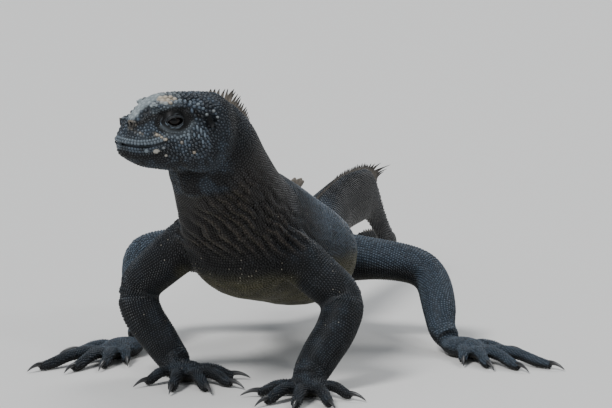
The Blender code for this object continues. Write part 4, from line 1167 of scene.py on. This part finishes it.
def makeCoat(name, region, scales, material):
    # one mesh of all the scales of a region
    roots = np.array([tuple(s[0]) for s in scales])
    normals = np.array([tuple(s[1]) for s in scales])
    trails = np.array([tuple(s[2]) for s in scales])
    trails = trails - normals * (trails * normals).sum(1)[:, None]
    lengths = np.linalg.norm(trails, axis=1)
    trails[lengths < 1e-4] = (1, 0, 0)
    trails /= np.maximum(np.linalg.norm(trails, axis=1), 1e-9)[:, None]
    across = np.cross(normals, trails)
    turn = (draw.random(len(scales)) - 0.5) * 0.24
    c, s = np.cos(turn)[:, None], np.sin(turn)[:, None]
    trails, across = trails * c + across * s, across * c - trails * s
    half, wide, tall = (np.array([s[k] for s in scales], float) for k in (3, 4, 5))
    kinds = [s[6] for s in scales]
    tones = np.array([s[7] for s in scales])
    marks = markings(roots, normals)
    given = [s[8] for s in scales]
    # a crust of dried salt fills the gaps, so its scales lie flatter and closer
    tall *= 1 - 0.5 * marks[:, 0]
    half, wide = half * (1 + 0.15 * marks[:, 0]), wide * (1 + 0.15 * marks[:, 0])
    for i, mark in enumerate(given):
        if mark is not None:
            marks[i] = mark
    # grains of pale sand caught on single scales of the chest and arms
    specks = np.zeros(len(scales))
    if region in coat["sandy"]:
        share = coat["sandShare"] * ramp(roots[:, 1], -0.12, -0.17)
        if region == "chest":   # most of it where the dark breast meets the belly
            share *= 1 + 9 * bell(roots[:, 2] / unit, coat["sandHeight"], 4) * ramp(normals[:, 1], 0.2, -0.5)
        specks[draw.random(len(scales)) < share] = 1
    layout = coatMap(region, roots, normals)
    allPoints, allFaces, allTone, allRise, allUv, allMarks, allSpeck = [], [], [], [], [], [], []
    start = 0
    for kind in sorted(set(kinds)):
        shape, faces = templates[kind]
        pick = np.array([i for i, k in enumerate(kinds) if k == kind])
        count = len(shape)
        x, y, z = shape[:, 0], shape[:, 1], shape[:, 2]
        lift = z[None, :] * (tall[pick, None] + coat["sunk"]) - coat["sunk"]
        made = roots[pick, None, :] + unit * (
            trails[pick, None, :] * (x[None, :] * half[pick, None])[..., None]
            + across[pick, None, :] * (y[None, :] * wide[pick, None])[..., None]
            + normals[pick, None, :] * lift[..., None])
        allPoints.append(made.reshape(-1, 3))
        for face in faces:
            allFaces.append((start + (np.arange(len(pick)) * count)[:, None] + np.array(face)[None, :]))
        allTone.append(np.repeat(tones[pick], count))
        allRise.append(np.tile(z, len(pick)))
        allMarks.append(np.repeat(marks[pick], count, 0))
        allSpeck.append((specks[pick, None] * (z[None, :] > 0.9) * 0.8).ravel())
        patch = shape[:, :2] * coat["patch"] / 2.6
        allUv.append((layout[pick, None, :] + patch[None, :, :]).reshape(-1, 2))
        start += len(pick) * count
    least, most = np.array(cadBox[0]) + coat["boxGap"], np.array(cadBox[1]) - coat["boxGap"]
    points = np.clip(np.concatenate(allPoints), least, most)
    mesh = bpy.data.meshes.new(name)
    mesh.vertices.add(len(points))
    mesh.vertices.foreach_set("co", points.astype(np.float32).ravel())
    sizes = np.concatenate([np.full(len(f), f.shape[1]) for f in allFaces])
    loops = np.concatenate([f.ravel() for f in allFaces])
    mesh.loops.add(len(loops))
    mesh.loops.foreach_set("vertex_index", loops.astype(np.int32))
    mesh.polygons.add(len(sizes))
    mesh.polygons.foreach_set("loop_start", np.concatenate([[0], np.cumsum(sizes)[:-1]]).astype(np.int32))
    mesh.polygons.foreach_set("use_smooth", np.ones(len(sizes), bool))
    mesh.update(calc_edges=True)
    bake = mesh.uv_layers.new(name="OFBake")
    bake.data.foreach_set("uv", np.concatenate(allUv)[loops].astype(np.float32).ravel())
    storeMarks(mesh, *map(np.concatenate, (allMarks, allTone, allRise, allSpeck)))
    mesh.materials.append(material)
    obj = bpy.data.objects.new(name, mesh)
    bpy.context.scene.collection.objects.link(obj)
    triangles = int((sizes - 2).sum())
    print("coat:", name, len(scales), "scales", triangles, "triangles")
    return obj


lips = {
    # rows of plates: height over the mouth line, length of a plate, its half height, its rise
    "rows": ((2.6, 1.25, 0.66, 0.24), (1.3, 1.4, 0.8, 0.34), (-1.05, 1.3, 0.6, 0.30), (-2.2, 1.4, 0.62, 0.26)),
    "inset": 0.2,
}


def addLips(coats, tree):
    for raised, length, height, rise in lips["rows"]:
        path = mouthPath(raised, lips["inset"], 400)
        travelled = 0
        for one, other in zip(path, path[1:]):
            gap = (other - one).length / unit
            before, travelled = travelled, travelled + gap
            if int(travelled / length) > int(before / length):
                spot, normal, _, _ = tree.find_nearest(other)
                trail = (other - one).normalized()
                coats["head"].add(spot, normal, trail, length * 0.53, height * (0.95 + 0.1 * dice.random()),
                                  rise, "plate", 0.5 + 0.5 * dice.random())


bumps = {
    # single large scales of the temple, ear, cheek and jaw:
    # back, above, half length, half height, rise, salt, blue, cream
    "list": (
        (29.0, 15.0, 0.9, 1.5, 0.8, 0.1, 0.9, 0), (31.0, 14.4, 0.8, 1.5, 0.9, 0.15, 0.9, 0),
        (33.6, 13.4, 1.2, 1.1, 0.9, 0.25, 0.9, 0), (30.4, 11.4, 0.8, 1.3, 0.7, 0, 0.8, 0),
        (36.5, 8.9, 0.9, 0.8, 0.9, 0.3, 0.6, 0.1), (39.8, 9.9, 1.0, 0.9, 0.8, 0.3, 0.6, 0.1),
        (41.0, 7.2, 0.9, 0.8, 0.7, 0.25, 0.6, 0.1), (35.2, 11.6, 1.0, 0.9, 0.8, 0.1, 0.8, 0),
        (31.6, 4.2, 0.7, 1.5, 0.55, 0.2, 1.0, 0), (33.0, 2.6, 0.7, 1.6, 0.55, 0.2, 1.0, 0),
        (34.4, 0.6, 0.7, 1.6, 0.55, 0.15, 1.0, 0), (31.8, 0.4, 0.65, 1.4, 0.5, 0.15, 1.0, 0),
        (33.2, -2.2, 0.7, 1.4, 0.5, 0.1, 0.9, 0), (30.0, 1.2, 0.65, 1.4, 0.5, 0.1, 0.9, 0),
        (27.8, 0.2, 0.7, 1.3, 0.5, 0.2, 1.0, 0), (26.0, -1.2, 0.7, 1.2, 0.45, 0.1, 0.9, 0),
        (10.0, -3.4, 1.25, 1.2, 0.5, 0.25, 0.7, 0), (14.0, -4.0, 2.0, 1.25, 0.5, 0.45, 0.1, 0.45),
        (17.8, -6.3, 0.9, 0.8, 0.4, 0.3, 0.2, 0.4), (17.0, -2.9, 0.9, 0.8, 0.4, 0.2, 0.6, 0.1),
        (14.8, 3.0, 0.9, 0.7, 0.4, 0.1, 0, 0.9), (16.6, 1.8, 0.8, 0.6, 0.4, 0.1, 0, 0.8),
        (18.2, 0.6, 0.9, 0.7, 0.4, 0.1, 0, 0.9),
        (9.2, 13.2, 1.2, 1.1, 1.1, 0, 0.1, 0),
    ),
}


def addBumps(coats, tree):
    for back, above, length, height, rise, salt, blue, cream in bumps["list"]:
        for side in (1, -1):
            spot, normal, _, _ = tree.ray_cast(headPoint(back, side * 40, above), -headLeft * side)
            if spot is not None:
                mark = (salt, blue, 0, 0, cream, 0)
                coats["head"].add(spot, normal, headAlong, length, height, rise, "knob", 0.9, mark)


def makeScales(skin, material):
    tree = BVHTree.FromObject(skin, bpy.context.evaluated_depsgraph_get())
    coats = {name: Coat() for name in ("head", *coat["regions"], *limbs)}
    addLips(coats, tree)
    addBumps(coats, tree)
    for region, (first, last, spacing, kind) in coat["regions"].items():
        addRows(coats, region, tree, spine["rows"], first, last, True, coat[spacing], kind)
    x0, y0 = animal["origin"]
    for limb, table in limbs.items():
        addRows(coats, limb, tree, table, 1.75, 6.2, False, coat[limb[:3]], "keeled")
        digits, inner = digitsOf(limb)
        for digit in digits:
            points, _ = digitPath(feet["pads"][limb], digit, inner)
            path = [(p.x / unit + x0, p.y / unit + y0, p.z / unit, digit[4]) for p in points]
            addRows(coats, limb, tree, path, 1.1, 3.95, False, coat["foot"], "keeled")
    print("coat: rows hold", sum(len(c.scales) for c in coats.values()), "scales")
    fillIn(coats, skin, tree)
    made = []
    for region, gathered in coats.items():
        if gathered.scales:
            made.append(makeCoat("scales" + region[0].upper() + region[1:], region, gathered.scales, material))
    return made, tree


# Crest

crest = {
    # spacing, height, half thickness of the spines in mm
    "nape": (1.6, 6.6, 0.48), "neck": (1.75, 6.8, 0.48), "back": (2.4, 4.6, 0.55), "tail": (3.4, 3.8, 0.45),
    "headFrom": 43.5, "headTo": 53.0,
    "spur": 14.3, "spurTurn": 2.2,   # place of the tall spur on the tail, and how far it leans to the left
    "upright": 0.5, "uprightNape": 1.6,
    "levels": (-0.25, 0.0, 0.22, 0.45, 0.66, 0.84, 0.97), "sides": 8,   # sections of a spine, from in the skin
}


def roomAbove(hit, rising):
    # how tall a spine may stand at a place and stay inside the box of the solids, in mm
    return (cadBox[1][2] - hit.z - 0.0003) / unit / max(rising.z, 0.1)


def spurShare(place):
    return math.exp(-((place - crest["spur"]) / 0.3) ** 2)


def crestShare(place):
    # how tall the crest is along the body: tallest on the nape, and a spur where the tail bends down
    if place < 3.2:
        return 0.95 - 0.50 * min(1, max(0, place - 0.2) / 1.0)
    if place < 9.5:
        return 0.70 + 0.80 * math.exp(-((place - 6.1) / 0.9) ** 2)
    return 0.4 + 0.6 * math.exp(-((place - 14.5) / 3.6) ** 2) + 1.2 * spurShare(place)


def addSpine(bm, root, rising, trailing, height, length, thickness, lean, rises, dark=1.0, foot=0.2, blunt=0.0):
    # one blade: lens-shaped sections that narrow and bend back to a point, or to a broad end where blunt
    side = rising.cross(trailing).normalized()
    height = min(height, roomAbove(root, rising))
    sides = crest["sides"]
    rings = []
    for level in crest["levels"]:
        share = max(level, 0)
        width = length / 2 * (1 - share ** (1.25 + 8 * blunt)) + 0.08
        thick = thickness * (1 - share ** 1.6) + 0.05
        middle = root + (rising * height * level + trailing * lean * height * share ** 1.8) * unit
        rings.append([middle + (trailing * math.cos(a) * width + side * math.sin(a) * thick) * unit
                      for a in (2 * math.pi * k / sides for k in range(sides))])
        rises += [foot + (dark - foot) * share] * sides
    loft(bm, rings)


def makeCrest(tree, material):
    bm = bmesh.new()
    rises = []
    start, end = crest["headFrom"], crest["headTo"]
    spacing, height, thickness = crest["nape"]
    back = start
    last = None
    while back < end:
        hit, normal, _, _ = tree.ray_cast(headPoint(back, 0, 50), -headUp)
        share = 0.25 + 0.75 * min(1, 1.6 * (back - start) / (end - start))
        rising = (normal * 0.4 + headUp + headLeft * 0.22 * (dice.random() - 0.5)).normalized()
        trailing = (headAlong - rising * headAlong.dot(rising)).normalized()
        tall = height * share * (0.88 + 0.24 * dice.random())
        lean = 0.10 + 0.25 * dice.random()
        addSpine(bm, hit, rising, trailing, tall, spacing * 0.98, thickness, lean, rises)
        last = hit
        back += spacing
    place = 0.2
    while place < len(spine["rows"]) - 1.5:
        spacing, height, thickness = crest["neck" if place < 2.6 else "back" if place < 9.5 else "tail"]
        middle, along, left, up = frameAt(spine["rows"], place)
        step = (atPoint(*smoothRow(spine["rows"], place + 0.05)[:3]) - middle).length / unit / 0.05
        hit, _, _, _ = tree.ray_cast(middle + up * 60 * unit, -up)
        found = hit is not None and (hit - middle).length < 45 * unit
        if found and (hit - last).length > 0.86 * spacing * unit:
            toNape = float(ramp(place, 2.0, 0.8))
            upright = crest["upright"] + (crest["uprightNape"] - crest["upright"]) * toNape
            broad = float(bell(place, 6.1, 0.6))   # a clump of broad pale blades at the middle of the back
            sway = left * (0.2 + 1.3 * broad) * (dice.random() - 0.5)
            rising = (up + sway + Vector((0, 0, upright))).normalized()
            trailing = along + Vector((1, 0, 0)) * (crest["spurTurn"] * spurShare(place) + 2.0 * broad)
            trailing = (trailing - rising * trailing.dot(rising)).normalized()
            tall = height * crestShare(place) * (0.86 + 0.26 * dice.random())
            lean = 0.34 * (1 - 0.6 * toNape) + 0.2 * dice.random() + 0.96 * spurShare(place) + 0.2 * broad
            foot = 0.5 * (1 - broad) if place > 2 else 0.2
            addSpine(bm, hit, rising, trailing, tall * (1 - 0.2 * broad), spacing * (0.98 + 0.9 * broad),
                     thickness * (1 + 0.7 * broad), lean, rises, 1 - 0.55 * broad, foot, 0.6 * broad)
            last = hit
        place += spacing / step * 0.2
    bmesh.ops.recalc_face_normals(bm, faces=bm.faces)
    print("crest:", len(rises) // (len(crest["levels"]) * crest["sides"]), "spines")
    return dressed(toObject("crest", bm), material, rise=rises)


# crest spines: soft keratin, dull tan grey at the root and near black at the tip, streaked lengthwise
crestLook = {
    "name": "crestKeratin", "along": "rise",
    "noise": (1.2, 4.0), "join": ("ADD", 0.5, -0.25),   # size in mm and detail; how the noise joins in
    "stops": ((0.0, "#8A8072"), (0.42, "#6E675E"), (0.85, "#191817")),
    "bump": (0.4, 0.15),   # strength, depth in mm
    "shader": {"Roughness": 0.55, "Specular IOR Level": 0.35},
}


# Claws

def makeClaws(limb, material):
    # long hooked claws of one hand or foot
    digits, inner = digitsOf(limb)
    up = Vector((0, 0, 1))
    bm = bmesh.new()
    rises = []
    for digit in digits:
        points, heading = digitPath(feet["pads"][limb], digit, inner)
        base = points[-1] - heading * 2.0 * unit
        path, radii = [], []
        for k in range(claws["steps"] + 1):
            share = k / claws["steps"]
            rise = 0.9 + 2.4 * share - 4.4 * share**2
            path.append(base + (heading * (claws["length"] + 1.7) * share + up * rise) * unit)
            radii.append(claws["radius"] * 1.02 * (1 - share) ** 0.7 + claws["tip"])
            path[-1].z = max(path[-1].z, (radii[-1] + 0.06) * unit)
            rises += [share] * claws["sides"]
        loft(bm, tubeRings(path, radii, claws["sides"], flat=0.8))
    bmesh.ops.recalc_face_normals(bm, faces=bm.faces)
    return dressed(toObject("claws" + limb[0].upper() + limb[1:], bm), material, rise=rises)


# claws: dense horn, dark grey with paler worn ridges, half glossy from wear on rock
clawLook = {
    "name": "clawHorn", "along": "rise", "noise": (0.9, 3.0), "join": ("MULTIPLY", 1.0, 0.0),
    "stops": ((0.0, "#1B1C1E"), (0.6, "#4A4A4B")), "bump": (0.25, 0.1),
    "shader": {"Roughness": 0.30, "IOR": 1.54},
}


# Eyes and lids

eyes = {"pupil": 0.30, "iris": 0.62, "gazeForward": 0.18, "folds": 6}   # pupil and iris as angles in radians


def makeEye(side, material):
    # an eyeball, with the angle from its gaze kept for the colours
    back, out, above = head["eye"]
    gaze = (headLeft * side - headAlong * eyes["gazeForward"]).normalized()
    other = headAlong.cross(gaze).normalized()
    bm = bmesh.new()
    bmesh.ops.create_uvsphere(bm, u_segments=40, v_segments=28, radius=head["eyeRadius"] * unit)
    turn = Matrix([[axis[k] for axis in (other.cross(gaze), other, gaze)] for k in range(3)]).to_4x4()
    middle = headPoint(back, side * out, above)
    bmesh.ops.transform(bm, matrix=Matrix.Translation(middle) @ turn, verts=bm.verts)
    obj = toObject("eyeball" + ("Left" if side > 0 else "Right"), bm)
    gazes = [(vert.co - middle).normalized().angle(gaze) for vert in obj.data.vertices]
    return dressed(obj, material, gaze=gazes)


# wet eye: clear cornea over a dark brown iris and a black pupil, so one sharp highlight
eyeLook = {
    "name": "wetEye", "along": "gaze", "noise": (0.5, 3.0), "join": ("ADD", 0.12, -0.06),
    "stops": ((eyes["pupil"], "#020202"), (eyes["pupil"] + 0.06, "#1C1510"),
              (eyes["iris"], "#120D0A"), (eyes["iris"] + 0.05, "#070606")),
    "shader": {"Roughness": 0.08, "Specular IOR Level": 0.2, "IOR": 1.38,
               "Coat Weight": 0.25, "Coat Roughness": 0.03},
}


def makeLids(side, material):
    # folds of skin that ring the eye, close set, thin at the corners
    back, out, above = head["eye"]
    outward = headLeft * side
    middle = headPoint(back, side * out, above)
    radius = head["eyeRadius"] + 1.35 - animal["coatDepth"] * 0.5
    bm = bmesh.new()
    pale = []
    count = 44
    for n in range(eyes["folds"]):
        wide = (head["eyeOpening"][0] + 0.1 + 0.66 * n) / (radius + 0.2)
        tall = (head["eyeOpening"][1] - 0.15 + 0.6 * n) / (radius + 0.2)
        path, radii = [], []
        for k in range(count):
            angle = 2 * math.pi * k / count
            c, s = math.cos(angle), math.sin(angle)
            x = wide * c
            y = tall * s * (abs(s) ** 0.35) * (0.94 if s < 0 else 0.8)   # the upper lid hangs straighter
            depth = math.sqrt(max(0.05, 1 - min(0.95, x * x + y * y)))
            grow = radius - 0.15 * n
            point = middle + (headAlong * x + headUp * y + outward * depth) * grow * unit
            path.append(point)
            wobble = noise.noise(Vector((k * 0.45, n * 1.7, side)))
            radii.append((0.36 if n == 0 else 0.33) * (0.5 + 0.5 * abs(s)) * (1 + 0.5 * wobble))
            # every other fold of the lower lid is pale slate; the other folds and the upper lid lie in painted shade
            paleFold = 0.9 if n % 2 else 0.15
            pale += [min(1, max(0, paleFold + 0.6 * wobble)) * (0.2 + 0.8 * float(ramp(s, 0.4, -0.3)))] * 8
        loft(bm, tubeRings(path, radii, 8, closedLoop=True, side=outward), closedLoop=True)
    bmesh.ops.recalc_face_normals(bm, faces=bm.faces)
    obj = toObject("lids" + ("Left" if side > 0 else "Right"), bm)
    marks = np.zeros((len(pale), 6))
    marks[:, 0], marks[:, 1] = 0.15 * np.array(pale), 0.1 + 0.9 * np.array(pale)
    marks[:, 5] = 0.85 - 1.4 * np.array(pale)
    storeMarks(obj.data, np.clip(marks, 0, 1), 0.6, 0.9)
    return dressed(obj, material)


def makeNostrils(side, tree, material):
    # raised rim round a nostril
    back, out, above = head["nostril"]
    ring = head["nostrilRadius"] + 0.45
    bm = bmesh.new()
    path = []
    count = 26
    for k in range(count):
        angle = 2 * math.pi * k / count
        start = headPoint(back + ring * math.cos(angle), side * (out + 1.2), above + ring * 0.9 * math.sin(angle))
        spot, normal, _, _ = tree.find_nearest(start)
        path.append(spot + normal * 0.05 * unit)
    radii = [0.40 * (1 + 0.25 * noise.noise(Vector((k * 0.6, side, 3)))) for k in range(count)]
    loft(bm, tubeRings(path, radii, 8, closedLoop=True, side=headLeft * side), closedLoop=True)
    bmesh.ops.recalc_face_normals(bm, faces=bm.faces)
    obj = toObject("nostrilRim" + ("Left" if side > 0 else "Right"), bm)
    points = coordinates(obj.data)
    marks = np.zeros((len(points), 6))
    marks[:, 4] = 0.16 + 0.45 * wander(points, 1.5, 21)
    storeMarks(obj.data, np.clip(marks, 0, 1), 0.8, 0.8)
    return dressed(obj, material)


# The model

print("skin: start")
skin = makeSkin()
print("skin:", len(skin.data.polygons), "faces")
# the bare skin shows only between the scales; its low rise darkens it with the painted shade of a scale's foot
storeMarks(skin.data, markings(coordinates(skin.data), normalsOf(skin.data)), 0.25, 0.25)
skin.data.materials.clear()
dressed(skin, hideMaterial("bareHide", 0.55, 0.5, 0.4))

coatPieces, skinTree = makeScales(skin, hideMaterial("scaledHide", 0.31, 0.25, 0.12))
crestPiece = makeCrest(skinTree, gradedMaterial(crestLook))
horn = gradedMaterial(clawLook)
clawPieces = [makeClaws(limb, horn) for limb in limbs]
wet = gradedMaterial(eyeLook)
lidHide = hideMaterial("lidHide", 0.5, 0.3, 0.8)
eyePieces = {side: makeEye(side, wet) for side in (1, -1)}
lidPieces = [makeLids(side, lidHide) for side in (1, -1)]
rimPieces = [makeNostrils(side, skinTree, lidHide) for side in (1, -1)]

fleshNodes = [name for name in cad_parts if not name.startswith("eye_")]
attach(skin, "root")
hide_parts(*fleshNodes)
for side, name in ((1, "eye_left"), (-1, "eye_right")):
    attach(eyePieces[side], "root")
    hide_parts(name)
for piece in coatPieces + clawPieces + lidPieces + rimPieces + [crestPiece]:
    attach(piece, "root")

# Floor, light and camera

studio = {
    "floor": "#E2E1DE", "floorSize": 14.0, "world": "#E6ECF4", "worldStrength": 0.5,
    # from where each soft light comes, its strength and its width in degrees
    "lights": (((-0.55, -0.62, 1.0), 2.3, 18), ((0.5, 0.8, 0.9), 0.9, 25), ((0.48, -0.74, 0.46), 0.35, 7)),
}


def makeFloor():
    bm = bmesh.new()
    bmesh.ops.create_grid(bm, x_segments=1, y_segments=1, size=studio["floorSize"] / 2)
    mesh = bpy.data.meshes.new("floor")
    bm.to_mesh(mesh)
    bm.free()
    floor = bpy.data.objects.new("floor", mesh)
    bpy.context.scene.collection.objects.link(floor)
    material, _, shader = newMaterial("paleFloor")
    shader.inputs["Base Color"].default_value = toLinear(studio["floor"])
    shader.inputs["Roughness"].default_value = 0.8
    mesh.materials.append(material)


def makeLight(source, strength, width):
    lamp = bpy.data.lights.new("softLight", "SUN")
    lamp.energy, lamp.angle = strength, math.radians(width)
    obj = bpy.data.objects.new("softLight", lamp)
    obj.location = source
    obj.rotation_euler = (-Vector(source)).to_track_quat("-Z", "Y").to_euler()
    bpy.context.scene.collection.objects.link(obj)


makeFloor()
for light in studio["lights"]:
    makeLight(*light)
world = bpy.data.worlds.new("studio")
bpy.context.scene.world = world
world.use_nodes = True
worldShader = world.node_tree.nodes["Background"]
worldShader.inputs["Color"].default_value = toLinear(studio["world"])
worldShader.inputs["Strength"].default_value = studio["worldStrength"]

shot = {
    "azimuth": 0.57, "elevation": 7.25, "distance": 1.160,
    "target": (0.0044, -0.1728, 0.0776),
    "focal": 2568, "frameWidth": 612,   # focal length and width of the frame, both in its pixels
}
lens = bpy.data.cameras.new("camera")
lens.sensor_width = 36
lens.lens = shot["focal"] / shot["frameWidth"] * lens.sensor_width
camera = bpy.data.objects.new("camera", lens)
turn, lift = math.radians(shot["azimuth"]), math.radians(shot["elevation"])
away = Vector((math.sin(turn) * math.cos(lift), -math.cos(turn) * math.cos(lift), math.sin(lift)))
camera.location = Vector(shot["target"]) + away * shot["distance"]
camera.rotation_euler = (-away).to_track_quat("-Z", "Y").to_euler()
bpy.context.scene.collection.objects.link(camera)
bpy.context.scene.camera = camera
